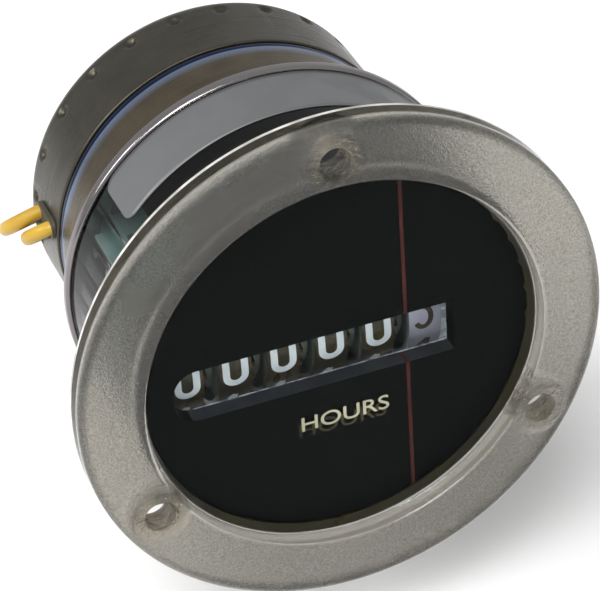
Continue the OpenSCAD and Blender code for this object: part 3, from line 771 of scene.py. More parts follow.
@dataclass
class Bezel:
    """The clear front moulding and the clear case behind it. Sizes are in millimetres."""

    radius: float = 35.5
    crest_y: float = -4.6
    crest_r: float = 0.3
    fall: float = 0.5
    ease: float = 0.05
    face_in: float = 1.0
    face_out: float = 0.6
    edge_r: float = 1.2
    inner_r: float = 26.75
    foot_r: float = 0.35
    foot_in: float = 0.5
    window_front: float = -2.7
    window_back: float = -0.9
    window_in: float = 0.2
    dial_r: float = 26.2
    case_r: float = 27.7
    case_in_r: float = 26.25
    case_end: float = 23.9
    dark_to: float = 2.5
    rib_turns: tuple[float, ...] = (148.0, 157.0, 166.0, 175.0, 184.0)
    rib_h: float = 0.35
    rib_half: float = 0.6
    wall_from: float = -2.3
    line_from: float = -0.75
    gap: float = 0.05
    near: float = 0.1
    chamfer: float = 0.3
    hole_r: float = 2.1
    hole_break: float = 0.3
    hole_set: float = 0.12
    hole_reach: float = 1.0
    hole_segments: int = 48
    segments: int = 256

    def profile(self) -> np.ndarray:
        """Gives the moulding's profile from the axis at the front round to the axis at the back."""
        rim, wall = self.radius - self.edge_r, self.inner_r + self.crest_r
        low, seat = self.crest_y + self.fall, self.case_r + self.gap
        foot = (self.inner_r - self.foot_r, self.window_front - self.foot_r)
        return np.concatenate([
            np.linspace((0.0, self.window_front), (self.inner_r - self.foot_in, self.window_front), 12),
            arc(foot, self.foot_r, 90, 15, 4),
            arc((wall + self.crest_r, self.crest_y + self.crest_r), self.crest_r, 180, 270, 5),
            np.linspace((wall + self.face_in, self.crest_y + self.ease),
                        (rim - self.face_out, low - self.ease), 8),
            arc((rim, low + self.edge_r), self.edge_r, -90, 0, 9),
            [[self.radius, self.wall_from], [self.radius, self.line_from],
             [self.radius, -self.chamfer], [self.radius - self.chamfer, 0.0], [seat, 0.0],
             [seat, self.window_back], [self.dial_r, self.window_back], [0.0, self.window_back]],
        ])

    def cutter(self) -> bpy.types.Object:
        """Makes the tool for the three screw holes, which also breaks their edges."""
        reach, wide = self.hole_reach, self.hole_r + self.hole_break
        front = self.crest_y + self.hole_set
        points, faces = revolve(np.array([
            [0.0, self.crest_y - reach], [wide + reach, self.crest_y - reach], [wide, front],
            [self.hole_r, front + self.hole_break], [self.hole_r, -self.hole_break], [wide, 0.0],
            [wide + reach, reach], [0.0, reach]]), self.hole_segments)
        places = [HOLE_CIRCLE * MM * np.array([math.cos(turn), 0.0, math.sin(turn)])
                  for turn in map(math.radians, HOLE_TURNS)]
        shape = join_shapes([(points + place, faces) for place in places])
        return link("hole_tool", clean_mesh("hole_tool", shape))

    def build(self, finishes: Finishes) -> None:
        """Makes the moulding with its frosted ring and clear window, and the case, whose front end is
        painted dark as shade.
        """
        moulding = new_piece("bezel_moulding", revolve(self.profile(), self.segments),
                             finishes.get("frosted_ring"))
        carve(moulding, self.cutter())
        self.paint(moulding.data, finishes)
        settle(moulding, "bezel_lens")
        case = new_piece("case_tube", self.case(), finishes.get("clear_case"))
        # The case's front end takes the painted shade finish.
        front = face_values(case.data, "center")[:, 1] < self.dark_to * MM
        finishes.cover(case.data, ("clear_case", "case_front_painted_shade"), [front])
        settle(case, "case_skirt")

    def paint(self, mesh: bpy.types.Mesh, finishes: Finishes) -> None:
        """Gives the moulding its frosted ring, clear window, a bright back edge that is a painted
        highlight and a clear side wall tinted dark as painted shade.
        """
        x, y, z = face_values(mesh, "center").T / MM
        radius = np.hypot(x, z)
        outside = radius > self.radius - self.chamfer
        recess = (radius < self.case_r + self.near) & (y > self.window_back - self.near)
        # Zones: the clear window, the painted highlight line at the back edge and the side wall in painted
        # shade.
        zones = [recess | (radius < self.inner_r - self.window_in), outside & (y > self.line_from),
                 outside & (y > self.wall_from)]
        finishes.cover(mesh, ("frosted_ring", "clear_window", "rim_painted_highlight", "clear_wall_painted_shade"), zones)
        smooth(mesh)

    def case(self) -> Shape:
        """Makes the case: a tube whose inner side stands in by a bell of the way to each of its ribs."""
        front = self.window_back + self.gap
        wall = [[self.case_r, front], [self.case_r, self.case_end], [self.case_in_r, self.case_end],
                [self.case_in_r, self.dark_to], [self.case_in_r, front], [self.case_r, front]]
        points, faces = revolve(np.array(wall), 2 * self.segments)
        x, y, z = points.T
        radius, turn = np.hypot(x, z), np.arctan2(z, x)
        left = np.radians(self.rib_turns)
        off = turn[:, None] - np.concatenate([left, np.pi - left])
        away = np.angle(np.exp(1j * off)) * self.case_in_r / self.rib_half
        inside = radius < (self.case_in_r + self.near) * MM
        scale = 1.0 - inside * self.rib_h * MM * np.exp(-away**2).sum(1) / radius
        return np.stack([x * scale, y, z * scale], axis=-1), faces


@dataclass
class Label:
    """The foil wrapped on the case. Sizes are in millimetres and degrees."""

    radius: float = 27.7
    thickness: float = 0.12
    front: float = 13.5
    back: float = 22.8
    start: float = 20.0
    end: float = 141.0
    corner: float = 1.8
    corner_columns: int = 9
    columns: int = 122
    rows: int = 13

    def build(self, finishes: Finishes) -> None:
        """Makes the foil: depth and angle on a grid, drawn in at both ends to round the corners."""
        length = math.radians(self.end - self.start) * self.radius
        ease = self.corner * (1.0 - np.cos(np.linspace(0.0, np.pi / 2, self.corner_columns)))
        middle = np.linspace(self.corner, length - self.corner, self.columns)[1:-1]
        along = np.concatenate([ease, middle, length - ease[::-1]])
        inside = np.clip(self.corner - np.minimum(along, length - along), 0.0, self.corner)
        inset = self.corner - np.sqrt(self.corner**2 - inside**2)
        share = np.linspace(0.0, 1.0, self.rows)[:, None]
        depth = self.front + inset + share * (self.back - self.front - 2.0 * inset)
        angle = math.radians(self.start) + along / self.radius + 0.0 * share
        radius = self.radius + self.thickness
        points = np.stack([radius * np.cos(angle), depth, radius * np.sin(angle)], axis=-1)
        shape = (points.reshape(-1, 3) * MM, grid_faces(self.rows, len(along), False))
        foil = new_piece("rating_foil", shape, finishes.get("foil"))
        outward = face_values(foil.data, "normal") * face_values(foil.data, "center")
        if outward[:, [0, 2]].sum() < 0:
            foil.data.flip_normals()
        wall = foil.modifiers.new("thickness", "SOLIDIFY")
        wall.thickness, wall.offset = self.thickness * MM, -1.0
        settle(foil, "rating_label")


@dataclass
class Dial:
    """Print and edges of the black dial. Sizes are in millimetres."""

    front: float = -0.6
    back: float = 1.9
    slot_left: float = -22.18
    slot_right: float = 16.02
    slot_top: float = 3.0
    slot_bottom: float = -4.6
    slot_corner: float = 3.2
    slot_in: float = 0.2
    edge_r: float = 0.08
    edge_points: int = 30
    edge_sides: int = 8
    ledge_near: float = 0.1
    ledge_up: float = 0.9
    print_t: float = 0.03
    print_sunk: float = 0.01
    stripe_x: float = 9.45
    stripe_w: float = 0.45
    stripe_low: float = -25.6
    stripe_high: float = 23.8
    stripe_rows: int = 12
    ledge_rows: int = 6
    legend: str = "HOURS"
    legend_centre: Span = (0.55, -9.9)
    legend_w: float = 12.1
    legend_h: float = 2.2
    legend_weight: float = 0.004
    # Offset and thinning of the legend's painted reflection.
    reflection_shift: Span = (-0.4, -0.95)
    reflection_t: float = 0.4

    def flat(self, points: np.ndarray, centre: Sequence[float]) -> np.ndarray:
        """Lays letters with X across, Y up and Z towards the reader on the face, in metres."""
        x, z, rise = points.T
        return np.stack([x + centre[0], self.front - rise, z + centre[1]], axis=-1) * MM

    def stripe(self, floor: float, top: float, start: float, end: float, rows: int) -> Shape:
        """Makes one straight length of the printed stripe.

        Args:
            floor: place of its underside, in the direction across the print.
            top: place of its printed side.
            start: where it starts along its run.
            end: where it ends.
            rows: number of points along it.

        Returns:
            Points in metres, as place across, height of the print and place along, and quads.
        """
        half = self.stripe_w / 2
        across = self.stripe_x + np.array([-half, -half, half, half])
        along = np.linspace(start, end, rows)[:, None]
        points = np.broadcast_arrays(across, np.array([floor, top, top, floor]), along)
        return np.stack(points, axis=-1).reshape(-1, 3) * MM, grid_faces(rows, 4, True)

    def dress(self, node: bpy.types.Object, finishes: Finishes) -> None:
        """Gives the plate its black and the slot's upward ledge a lighter tone that is painted light."""
        off = np.abs(face_values(node.data, "center")[:, 2] / MM - self.slot_bottom)
        up = face_values(node.data, "normal")[:, 2]
        ledge = (off < self.ledge_near) & (up > self.ledge_up)
        finishes.cover(node.data, ("dial_black", "slot_ledge_painted_light"), [ledge])

    def build(self, finishes: Finishes) -> None:
        """Makes the legend with a faint copy below it that is a painted reflection, the stripe and the
        bright edge at the slot's floor.
        """
        letters, faces = lettering(self.legend, (self.legend_w, self.legend_h, self.print_t),
                                   self.legend_weight)
        # The thin, offset copy is the legend's painted reflection.
        thin = letters * np.array([1.0, 1.0, self.reflection_t])
        below = np.add(self.legend_centre, self.reflection_shift)
        floor, top = self.front + self.print_sunk, self.front - self.print_t
        spans = ((self.stripe_low, self.slot_bottom), (self.slot_top, self.stripe_high))
        lengths = [self.stripe(floor, top, *span, self.stripe_rows) for span in spans]
        points, quads = self.stripe(self.slot_bottom - self.print_sunk, self.slot_bottom + self.print_t,
                                    self.front, self.back - self.slot_in, self.ledge_rows)
        lengths.append((points[:, [0, 2, 1]], quads))
        path = np.linspace((self.slot_left + self.slot_corner, self.back, self.slot_bottom),
                           (self.slot_right - self.slot_in, self.back, self.slot_bottom),
                           self.edge_points) * MM
        radius = np.full(self.edge_points, self.edge_r * MM)
        plans = (
            ("legend_hours", (self.flat(letters, self.legend_centre), faces), "legend_ink", False),
            ("legend_painted_reflection", (self.flat(thin, below), faces), "legend_painted_reflection", False),
            ("dial_stripe", join_shapes(lengths), "stripe_ink", True),
            ("slot_edge", tube(path, radius, self.edge_sides, (0, 0, 1)), "slot_edge", True),
        )
        for name, shape, finish, fill in plans:
            settle(new_piece(name, shape, finishes.get(finish), fill))


@dataclass(frozen=True)
class StrokeDigits:
    """Digits drawn by strokes of one width, as on counter wheels. Sizes are in millimetres."""

    width: float
    height: float
    stroke: float
    depth: float = 0.05
    step: float = 0.22
    least: int = 4
    bend: int = 14
    ring: int = 24
    hook: int = 10

    def strokes(self, digit: int) -> list[Line]:
        """Gives the centre lines of one digit.

        Args:
            digit: the digit.

        Returns:
            Each line's points, with the digit's centre at the origin, and whether it is closed.
        """
        a, b = (self.width - self.stroke) / 2, (self.height - self.stroke) / 2
        if digit == 0:
            ends = [arc((0, b - a), a, 0, 180, self.bend), arc((0, a - b), a, 180, 360, self.bend)]
            return [(np.concatenate(ends), True)]
        if digit == 8:
            return [(self.oval((0, y), b / 2, a / (b / 2)), True) for y in (b / 2, -b / 2)]
        if digit in (6, 9):
            turn, low = 1.0 if digit == 6 else -1.0, min(a, b / 2)
            tail_x, tail_r = 0.4 * a, 1.4 * a
            tail = [*arc((tail_x, b - tail_r), tail_r, 90, 180, self.hook), (-a, low - b)]
            return [(self.oval((0, low - b), low, a / low) * turn, True), (np.array(tail) * turn, False)]
        flag, stem, neck, foot, bar, waist = 0.6 * a, 0.7 * a, -0.85 * a, -0.3 * a, -0.35 * b, 0.24 * b
        small, large = (b - waist) / 2, (b + waist) / 2
        bowl = arc((0, a - b), a, 120, -150, self.bend)
        lines = {
            1: [[(0, -b), (0, b)], [(-flag, b - flag), (0, b)]],
            2: [[*arc((0, b - a), a, 170, -30, self.bend), (-a, -b)], [(-a, -b), (a, -b)]],
            3: [arc((0, 0), small, 150, -90, self.bend) * [a / small, 1.0] + [0, b - small],
                arc((0, 0), large, 90, -150, self.bend) * [a / large, 1.0] + [0, large - b]],
            4: [[(stem, -b), (stem, b)], [(stem, b), (-a, bar)], [(-a, bar), (a, bar)]],
            5: [[(a, b), (neck, b)], [(neck, b), bowl[0]], bowl],
            7: [[(-a, b), (a, b)], [(a, b), (foot, -b)]],
        }
        return [(np.array(line, float), False) for line in lines[digit]]

    def oval(self, centre: Sequence[float], radius: float, squeeze: float) -> np.ndarray:
        """Gives a ring of points about a centre on the middle line, squeezed across."""
        return arc(centre, radius, 0, 360, self.ring)[:-1] * np.array([squeeze, 1.0])

    def band(self, line: np.ndarray, closed: bool) -> Shape:
        """Gives a line its width and depth: each of its points becomes a rectangle across it.

        Args:
            line: points of the centre line.
            closed: whether it ends where it starts.

        Returns:
            Points with X across, Y up and Z towards the reader, and quads.
        """
        if closed:
            line = np.concatenate([line, line[:1]])
        line = respace(line, self.step, self.least)
        ahead = np.gradient(line, axis=0)
        if closed:
            ahead[0] = ahead[-1] = line[1] - line[-2]
        ahead /= np.linalg.norm(ahead, axis=1, keepdims=True)
        side = np.stack([-ahead[:, 1], ahead[:, 0]], axis=-1) * self.stroke / 2
        corners = ((line + side, 0.0), (line + side, self.depth), (line - side, self.depth),
                   (line - side, 0.0))
        ring = np.stack([np.insert(edge, 2, height, axis=1) for edge, height in corners], axis=1)
        return ring.reshape(-1, 3), grid_faces(len(line), len(corners), True)

    def shape(self, digit: int) -> Shape:
        """Gives a whole digit."""
        return join_shapes([self.band(line, closed) for line, closed in self.strokes(digit)])


@dataclass
class Counter:
    """Digits and finishes of the six wheels. Sizes are in millimetres."""

    first_x: float = -18.9
    pitch: float = 6.56
    axis_y: float = 13.6
    axis_z: float = -2.0
    radius: float = 9.8
    sunk: float = 0.02
    base: float = -2.4
    zero: StrokeDigits = StrokeDigits(3.5, 5.8, 0.95)
    digit: StrokeDigits = StrokeDigits(3.2, 4.4, 0.75)
    tenth: StrokeDigits = StrokeDigits(2.9, 4.4, 0.72)
    three: StrokeDigits = StrokeDigits(2.9, 5.8, 0.72)
    tenth_front: int = 3
    tenth_base: float = -1.6
    tenth_shift: float = -0.3
    recess_to: float = -0.6
    recess_r: float = 9.3
    crown_from: float = 2.0
    count: int = 10
    bodies: tuple[str, ...] = ("ten_thousands", "thousands", "hundreds", "tens", "units", "tenths")

    def wrapped(self, shape: Shape, x: float, rise: float) -> Shape:
        """Wraps a flat digit round a wheel: height becomes arc length and thickness becomes radius.

        Args:
            shape: the flat digit in millimetres.
            x: place of the wheel across the counter.
            rise: arc length from the wheel's foremost line up to the digit's centre.

        Returns:
            Points in metres and faces.
        """
        across, up, thick = shape[0].T
        radius, angle = self.radius - self.sunk + thick, (rise + up) / self.radius
        placed = [across + x, self.axis_y - radius * np.cos(angle), self.axis_z + radius * np.sin(angle)]
        return np.stack(placed, axis=-1) * MM, shape[1]

    def dress(self, nodes: dict[str, bpy.types.Object], finishes: Finishes) -> None:
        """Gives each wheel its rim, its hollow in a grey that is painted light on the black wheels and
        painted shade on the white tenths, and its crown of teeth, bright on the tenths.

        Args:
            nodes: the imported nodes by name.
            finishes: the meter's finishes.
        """
        for place, body in enumerate(self.bodies):
            mesh = nodes[f"wheel_{body}"].data
            x, y, z = face_values(mesh, "center").T / MM
            off = x - self.first_x - place * self.pitch
            hub = np.hypot(y - self.axis_y, z - self.axis_z) < self.recess_r
            # The hollow takes painted light and shade.
            names = ("wheel_black", "hollow_painted_shading", "wheel_black")
            if body == "tenths":
                names = ("wheel_white", "hollow_painted_shading", "crown_white")
            finishes.cover(mesh, names, [(off < self.recess_to) & hub, off > self.crown_from])

    def style(self, number: int, last: bool) -> StrokeDigits:
        """Gives the drawing of one digit, on the last wheel or on another."""
        if last:
            return self.three if number == self.tenth_front else self.tenth
        return self.zero if number == 0 else self.digit

    def build(self, finishes: Finishes) -> None:
        """Makes ten digits for each wheel, counted downwards, with a three in front on the tenths."""
        step = 2.0 * math.pi * self.radius / self.count
        for place, body in enumerate(self.bodies):
            last = body == "tenths"
            x = self.first_x + place * self.pitch + (self.tenth_shift if last else 0.0)
            foot = self.tenth_base + self.tenth_front * step if last else self.base
            shapes = []
            for number in range(self.count):
                style = self.style(number, last)
                rise = foot - number * step + style.height / 2
                shapes.append(self.wrapped(style.shape(number), x, rise))
            finish, slot = "digit_white", Slot.WHEEL_BLACK
            if last:
                finish, slot = "digit_dark", Slot.WHEEL_WHITE
            piece = new_piece(f"digits_{body}", join_shapes(shapes), finishes.get(finish), fill=True)
            settle(piece, body=body)


@dataclass
class Motor:
    """The front cup with its rolled lip, the seam band and the rear can. Sizes are in millimetres."""

    case_r: float = 27.75
    case_end: float = 23.9
    lip_r: float = 28.3
    lip_front: float = 22.9
    lip_back: float = 24.6
    lip_edge: float = 0.5
    root_r: float = 0.5
    neck_from: float = 0.8
    neck_r: float = 24.8
    cup_in_r: float = 24.1
    cup_end: float = 35.2
    seam_rise: float = 0.1
    seam_rows: int = 9
    can_front: float = 36.4
    can_end: float = 49.2
    can_r: float = 25.1
    can_in_r: float = 24.4
    can_edge: float = 2.4
    front_edge: float = 0.25
    side_from: float = 0.6
    side_in: float = 0.1
    side_rows: int = 46
    sheet: float = 0.7
    face_rings: Span = (20.0, 11.0)
    cap_r: float = 6.0
    cap_h: float = 1.2
    cap_edge: float = 0.6
    groove_r: float = 16.0
    groove_half: float = 0.6
    groove_depth: float = 0.3
    groove_slope: float = 0.3
    dimples: int = 24
    dimple_r: float = 1.05
    dimple_depth: float = 0.5
    dimple_power: float = 1.5
    dimple_skin: float = 0.2
    dimple_y: float = 45.8
    cup_segments: int = 256
    can_segments: int = 480

    def cup(self) -> np.ndarray:
        """Gives the cup's profile, with a rolled lip and a soft root between lip and neck."""
        roll = self.lip_r - self.lip_edge
        root = (self.neck_r + self.root_r, self.lip_back + self.root_r)
        return np.concatenate([
            [[self.case_r, self.lip_front], [roll, self.lip_front]],
            arc((roll, self.lip_front + self.lip_edge), self.lip_edge, -90, 0, 6),
            arc((roll, self.lip_back - self.lip_edge), self.lip_edge, 0, 90, 6),
            arc(root, self.root_r, 270, 180, 5),
            np.linspace((self.neck_r, self.lip_back + self.neck_from), (self.neck_r, self.cup_end), 8),
            [[self.cup_in_r, self.cup_end], [self.cup_in_r, self.case_end],
             [self.case_r, self.case_end], [self.case_r, self.lip_front]],
        ])

    def seam(self) -> np.ndarray:
        """Gives the seam band's profile, whose outside bulges by half a wave."""
        share = np.linspace(0.0, 1.0, self.seam_rows)
        outside = [self.neck_r + self.seam_rise * np.sin(np.pi * share),
                   self.cup_end + (self.can_front - self.cup_end) * share]
        return np.concatenate([[[self.cup_in_r, self.cup_end]], np.stack(outside, axis=-1),
                               [[self.cup_in_r, self.can_front], [self.cup_in_r, self.cup_end]]])

    def can(self) -> np.ndarray:
        """Gives the can's profile from its front edge over side, rear face and cap to the inside."""
        end, edge, floor = self.can_end, self.can_end - self.can_edge, self.can_end - self.groove_depth
        top, back = end + self.cap_h, end - self.sheet
        outer, inner = self.groove_r + self.groove_half, self.groove_r - self.groove_half
        front = (self.can_r - self.front_edge, self.can_front + self.front_edge)
        return np.concatenate([
            [[self.can_in_r, self.can_front]],
            arc(front, self.front_edge, -90, 0, 4),
            np.linspace((self.can_r, self.can_front + self.side_from),
                        (self.can_r, edge - self.side_in), self.side_rows),
            arc((self.can_r - self.can_edge, edge), self.can_edge, 0, 90, 12),
            [[self.face_rings[0], end], [outer, end], [outer - self.groove_slope, floor],
             [inner + self.groove_slope, floor], [inner, end], [self.face_rings[1], end],
             [self.cap_r, end]],
            arc((self.cap_r - self.cap_edge, top - self.cap_edge), self.cap_edge, 0, 90, 5),
            [[0.0, top], [0.0, back], [self.can_in_r, back], [self.can_in_r, self.can_front]],
        ])

    def staked(self, shape: Shape) -> Shape:
        """Presses dimples into the can's side: each draws the radius in by a bell of its distance."""
        x, y, z = shape[0].T / MM
        radius, step = np.hypot(x, z), 2.0 * np.pi / self.dimples
        off = (np.mod(np.arctan2(z, x), step) - step / 2.0) * self.can_r
        away = np.hypot(off, y - self.dimple_y) / self.dimple_r
        bell = self.dimple_depth * np.clip(1.0 - away**2, 0.0, 1.0) ** self.dimple_power
        depth = np.where(radius > self.can_r - self.dimple_skin, bell, 0.0)
        scale = (radius - depth) / np.maximum(radius, SAME_PLACE)
        return np.stack([x * scale, y, z * scale], axis=-1) * MM, shape[1]

    def build(self, finishes: Finishes) -> None:
        """Makes the cup, the can and the seam band."""
        cup, seam = (revolve(profile, self.cup_segments) for profile in (self.cup(), self.seam()))
        can = self.staked(revolve(self.can(), self.can_segments))
        plans = (("cup_shell", cup, "cup_steel", Slot.CUP, "motor_cup"),
                 ("can_shell", can, "can_steel", Slot.CAN, "motor_can"),
                 ("seam_band", seam, "seam_band", Slot.SEAM, "seam_ring"))
        for name, shape, finish, slot, node in plans:
            settle(new_piece(name, shape, finishes.get(finish)), node)


@dataclass(frozen=True)
class LeadPath:
    """How one lead leaves the can and lies in the hank. Sizes are in millimetres and degrees."""

    name: str
    node: str
    y: float
    out: Place
    bend: float
    back: float
    tilt: float
    layer: float
    entry: float


@dataclass
class Leads:
    """Both leads with their hank, tie and bare ends. Sizes are in millimetres."""

    upper: LeadPath = LeadPath("upper_lead", "lead_upper", y=43.0, out=(-0.96, 0.05, -0.28), bend=5.0,
                               back=13.0, tilt=0.0, layer=-1.05, entry=-11.0)
    lower: LeadPath = LeadPath("lower_lead", "lead_lower", y=38.6, out=(-0.98, 0.02, -0.2), bend=4.2,
                               back=22.0, tilt=16.0, layer=1.05, entry=-15.0)
    diameter: float = 2.0
    round_steps: int = 5
    points: int = 120
    soften: int = 2
    inside_x: float = -24.4
    inside_len: float = 1.0
    bend_x: float = -25.5
    exit_x: float = -25.4
    exit_z: float = 2.6
    fold: Place = (0.2, 0.8, -0.56)
    fold_points: int = 9
    entry_r: float = 5.5
    hank: Place = (-6.0, 55.3, -23.0)
    hank_len: float = 36.0
    hank_w: float = 14.0
    hank_t: float = 4.2
    run_pitch: float = 2.1
    run_in: float = 1.5
    tip_len: float = 6.0
    tip_in: float = 1.0
    tip_r: float = 0.55
    tip_points: int = 24
    tip_sides: int = 8
    tip_end: float = 0.5
    twist: float = 0.7
    tie_h: float = 3.0
    tie_in: float = 0.1
    tie_gap: float = 0.25
    tie_half: float = 0.22
    tie_r: float = 0.9
    tie_square: float = 0.4
    tie_sides: int = 16
    tie_steps: int = 8

    @property
    def left(self) -> float:
        """Place across of the hank's first run."""
        return self.hank[0] - self.hank_w / 2 + self.diameter / 2

    @property
    def home(self) -> float:
        """Place across of the hank's last run."""
        return self.left + self.run_pitch

    @property
    def bottom(self) -> float:
        """Height of the hank's lower end."""
        return self.hank[2] - self.hank_len / 2

    def runs(self, entry: float) -> np.ndarray:
        """Gives a lead's line in the hank, as places across and up, from the entry's height."""
        left, home, right = self.left, self.home, self.hank[0] + self.hank_w / 2 - self.diameter / 2
        low, narrow = self.bottom + self.hank_w / 2, (right - home) / 2
        high = self.hank[2] + self.hank_len / 2 - self.diameter / 2 - narrow
        return np.concatenate([
            arc((left - self.entry_r, entry), self.entry_r, 90.0, 0.0, 8),
            np.linspace((left, entry - self.run_in), (left, low + self.run_in), 6),
            arc(((left + right) / 2, low), (right - left) / 2, 180.0, 360.0, 14),
            np.linspace((right, low + self.run_in), (right, high - self.run_in), 6),
            arc(((home + right) / 2, high), narrow, 0.0, 180.0, 14),
            np.linspace((home, high - self.run_in), (home, self.bottom), 8),
        ])

    def route(self, path: LeadPath) -> np.ndarray:
        """Gives one lead's line in millimetres: out of the bush, folded back and round the hank."""
        lean, bend = math.radians(path.tilt), path.bend
        out, fold = np.asarray(path.out), np.asarray(self.fold)
        base = np.array([self.bend_x, path.y, self.exit_z]) - bend * math.sin(lean) * out
        first = np.radians(np.linspace(path.tilt, 90.0, self.fold_points))[:, None]
        second = np.radians(np.linspace(90.0, 180.0, self.fold_points))[:, None]
        return np.concatenate([
            [[self.inside_x, path.y, self.exit_z], [self.inside_x - self.inside_len, path.y, self.exit_z]],
            base + bend * np.sin(first) * out + bend * (math.cos(lean) - np.cos(first)) * fold,
            base + bend * np.sin(second) * out + (path.back - bend - bend * np.cos(second)) * fold,
            np.insert(self.runs(path.entry), 1, self.hank[1] + path.layer, axis=1),
        ])

    def wire(self, path: LeadPath, finish: bpy.types.Material) -> tuple[bpy.types.Object, float]:
        """Makes one lead as a round curve through evenly spaced, softened points of its line.

        Args:
            path: the lead.
            finish: its material.

        Returns:
            The curve object and its length in metres.
        """
        line = respace(self.route(path), math.inf, self.points - 1)
        for _ in range(self.soften):
            line[2:-2] = 0.25 * line[1:-3] + 0.5 * line[2:-2] + 0.25 * line[3:-1]
        curve = bpy.data.curves.new(path.name, "CURVE")
        curve.dimensions, curve.use_fill_caps = "3D", True
        curve.bevel_depth, curve.bevel_resolution = self.diameter / 2 * MM, self.round_steps
        spline = curve.splines.new("POLY")
        spline.points.add(len(line) - 1)
        spline.points.foreach_set("co", np.insert(line * MM, 3, 1.0, axis=1).ravel())
        curve.materials.append(finish)
        piece = link(path.name, curve)
        return piece, float(np.linalg.norm(np.diff(line, axis=0), axis=1).sum()) * MM

    def strands(self, layer: float) -> list[Shape]:
        """Makes the seven strands of a bare end: one straight and six on a helix round it."""
        drop = np.linspace(self.tip_in, -self.tip_len, self.tip_points)
        thick = self.tip_r / 3.0
        radius = np.full(self.tip_points, thick * MM)
        radius[-1] *= self.tip_end
        shapes = []
        for number, off in enumerate([2.0 * thick] * 6 + [0.0]):
            turn = number * np.pi / 3.0 + drop * self.twist
            path = [self.home + off * np.cos(turn), self.hank[1] + layer + off * np.sin(turn),
                    self.bottom + drop]
            shapes.append(tube(np.stack(path, axis=-1) * MM, radius, self.tip_sides, (1, 0, 0)))
        return shapes

    def tie(self) -> Shape:
        """Makes the tie: a flat rounded section carried once round the hank's rounded outline."""
        sides, r = self.tie_sides, self.tie_r
        wide, deep = self.hank_w / 2 + self.tie_gap - r, self.hank_t / 2 + self.tie_gap - r
        corners = ((wide, deep, 0), (-wide, deep, 90), (-wide, -deep, 180), (wide, -deep, 270))
        loop = np.concatenate([arc((x, y), r, start, start + 90, self.tie_steps)
                               for x, y, start in corners])
        ahead = np.roll(loop, -1, axis=0) - np.roll(loop, 1, axis=0)
        outward = np.stack([ahead[:, 1], -ahead[:, 0]], axis=-1)
        outward /= np.linalg.norm(ahead, axis=1, keepdims=True)
        turn = np.linspace(0.0, 2.0 * np.pi, sides, endpoint=False)
        lift, side = (size * np.sign(wave) * np.abs(wave) ** self.tie_square for size, wave in (
            (self.tie_half, np.cos(turn)), (self.tie_h / 2 - self.tie_in, np.sin(turn))))
        x = self.hank[0] + loop[:, :1] + outward[:, :1] * lift
        y = self.hank[1] + loop[:, 1:] + outward[:, 1:] * lift
        points = np.stack([x, y, self.hank[2] + side + 0.0 * x], axis=-1)
        grid = grid_faces(len(loop) + 1, sides, True)
        return points.reshape(-1, 3) * MM, grid % (len(loop) * sides)

    def build(self, finishes: Finishes) -> None:
        paths = (self.upper, self.lower)
        wires = [self.wire(path, finishes.get("wire_yellow")) for path in paths]
        strands = [shape for path in paths for shape in self.strands(path.layer)]
        tips = new_piece("bare_ends", join_shapes(strands), finishes.get("copper"), fill=True)
        tie = new_piece("hank_band", self.tie(), finishes.get("bush_black"))
        for path, (wire, _) in zip(paths, wires):
            settle(wire, path.node, "lead_hank")
        settle(tips, "lead_tips")
        settle(tie, "hank_tie")
        for path, (wire, length), ends in zip(paths, wires, ([tips, tie], [tips])):
            LOG.info("%s: %.3f m", path.name, length)


class Works:
    """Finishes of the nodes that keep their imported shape."""

    PLAN = {
        "frame_green": ["counter_frame"],
        "bright_steel": ["wheel_shaft", "pinion_shaft", "frame_screws", "gear_posts"],
        "plate_painted_shade": ["gear_plate"],
        # The gear plate's near black is painted shade.
        "pole_steel": ["front_poles", "rear_poles"],
        "nylon": ["coil_bobbin", "rotor_hub", "gear_1", "gear_2", "gear_3", "gear_4"],
        "carry_grey": ["transfer_1", "transfer_2", "transfer_3", "transfer_4", "transfer_5"],
        "copper": ["coil_winding"],
        "magnet_grey": ["rotor_magnet"],
        "bush_black": ["lead_bush"],
    }

    def dress(self, nodes: dict[str, bpy.types.Object], finishes: Finishes) -> None:
        """Gives each kept node its material."""
        for finish, names in self.PLAN.items():
            for name in names:
                finishes.cover(nodes[name].data, [finish])
        LOG.info("kept nodes: %d", sum(map(len, self.PLAN.values())))


@dataclass(frozen=True)
class Lamp:
    """A square soft lamp that faces the meter. Places and sizes are in metres, power in watts."""

    name: str
    place: Place
    size: float
    power: float
    aim: Place = (0.0, 0.015, 0.0)

    def build(self) -> None:
        """Makes the lamp."""
        data = bpy.data.lights.new(self.name, "AREA")
        data.size, data.energy = self.size, self.power
        lamp = link(self.name, data)
        lamp.location = self.place
        lamp.rotation_mode = "QUATERNION"
        way = Vector(self.aim) - Vector(self.place)
        lamp.rotation_quaternion = way.to_track_quat("-Z", "Y")


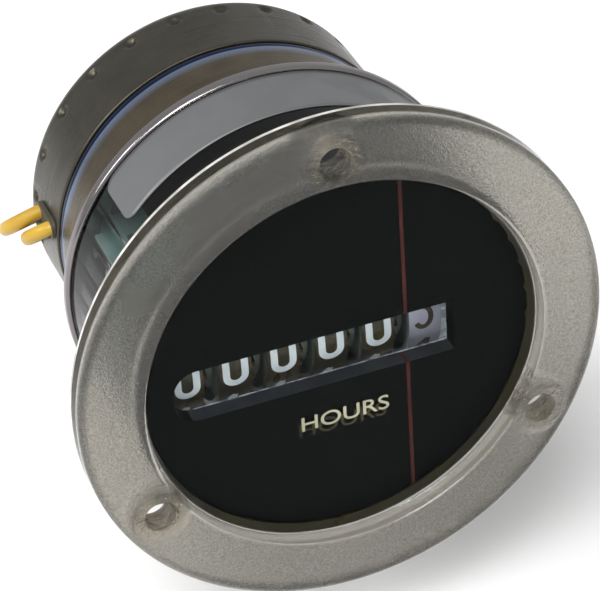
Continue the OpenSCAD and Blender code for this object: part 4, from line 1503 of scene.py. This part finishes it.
@dataclass
class Studio:
    """Camera, lamps, world and floor. The camera is in millimetres and degrees, the floor in metres."""

    azimuth: float = -19.2813
    elevation: float = 35.0937
    roll: float = -3.9147
    eye: Place = (-119.3047, -328.8412, 254.362)
    lens: float = 204.38
    sensor: float = 36.0
    clip: Span = (0.01, 100.0)
    world_light: float = 0.55
    floor_half: float = 3.0
    floor_tone: float = 0.95
    floor_rough: float = 0.9
    lamps: tuple[Lamp, ...] = (
        Lamp("key", (-0.3, -0.45, 0.75), 0.5, 8.0),
        Lamp("side", (-0.6, 0.1, 0.4), 0.3, 3.0),
        Lamp("spark", (0.05, -0.6, 0.05), 0.02, 1.0),
    )

    def camera(self) -> None:
        """Makes the camera at the photograph's viewing angle."""
        turn, rise, lean = map(math.radians, (self.azimuth, self.elevation, self.roll))
        away = math.cos(rise)
        back = Vector((math.sin(turn) * away, -math.cos(turn) * away, math.sin(rise)))
        right = Vector((math.cos(turn), math.sin(turn), 0.0))
        up = back.cross(right)
        level = right * math.cos(lean) + up * math.sin(lean)
        top = up * math.cos(lean) - right * math.sin(lean)
        data = bpy.data.cameras.new("camera")
        data.lens, data.sensor_width, data.sensor_fit = self.lens, self.sensor, "AUTO"
        data.clip_start, data.clip_end = self.clip
        place = Matrix((level, top, back)).transposed().to_4x4()
        place.translation = Vector(self.eye) * MM
        view = link("camera", data)
        view.matrix_world = place
        bpy.context.scene.camera = view

    def world(self) -> None:
        """Makes a plain white world that is dimmer as a light than it looks."""
        world = bpy.data.worlds.new("studio")
        world.use_nodes = True
        board = NodeBoard(world.node_tree)
        board.tree.nodes.clear()
        ray = board.add("ShaderNodeLightPath").outputs
        seen = board.math("MAXIMUM", ray["Is Camera Ray"],
                          board.math("MAXIMUM", ray["Is Glossy Ray"], ray["Is Transmission Ray"]))
        sky = board.fill(board.add("ShaderNodeBackground"),
                         Strength=board.rise(seen, 0.0, 1.0, self.world_light, 1.0))
        board.fill(board.add("ShaderNodeOutputWorld"), Surface=sky.outputs[0])
        bpy.context.scene.world = world

    def floor(self, height: float) -> None:
        """Lays a wide pale floor at a height under the meter."""
        mesh = bpy.data.meshes.new("floor")
        signs = ((-1, -1), (1, -1), (1, 1), (-1, 1))
        mesh.from_pydata([(x * self.floor_half, y * self.floor_half, height) for x, y in signs], [],
                         [(0, 1, 2, 3)])
        material = bpy.data.materials.new("pale_floor")
        material.use_nodes = True
        board = NodeBoard(material.node_tree)
        board.fill(board.tree.nodes["Principled BSDF"], Base_Color=(*[self.floor_tone] * 3, 1.0),
                   Roughness=self.floor_rough, Specular_IOR_Level=0.0)
        mesh.materials.append(material)
        link("floor", mesh)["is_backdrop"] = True

    def build(self, ground: float) -> None:
        """Makes the camera, the light and the floor, and sets the plain view transform."""
        self.camera()
        self.world()
        for lamp in self.lamps:
            lamp.build()
        self.floor(ground)
        bpy.context.scene.view_settings.view_transform = "Standard"


def main() -> None:
    """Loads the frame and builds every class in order."""
    logging.basicConfig(level=logging.INFO, format="%(name)s: %(message)s")
    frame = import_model()
    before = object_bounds()
    finishes = Finishes()
    Studio().build(before[0].z - FLOOR_DROP)
    Leads().build(finishes)
    Bezel().build(finishes)
    Label().build(finishes)
    dial, counter = Dial(), Counter()
    dial.build(finishes)
    dial.dress(frame["nodes"]["dial_plate"], finishes)
    counter.build(finishes)
    counter.dress(frame["nodes"], finishes)
    Motor().build(finishes)
    Works().dress(frame["nodes"], finishes)


if __name__ == "__main__":
    main()
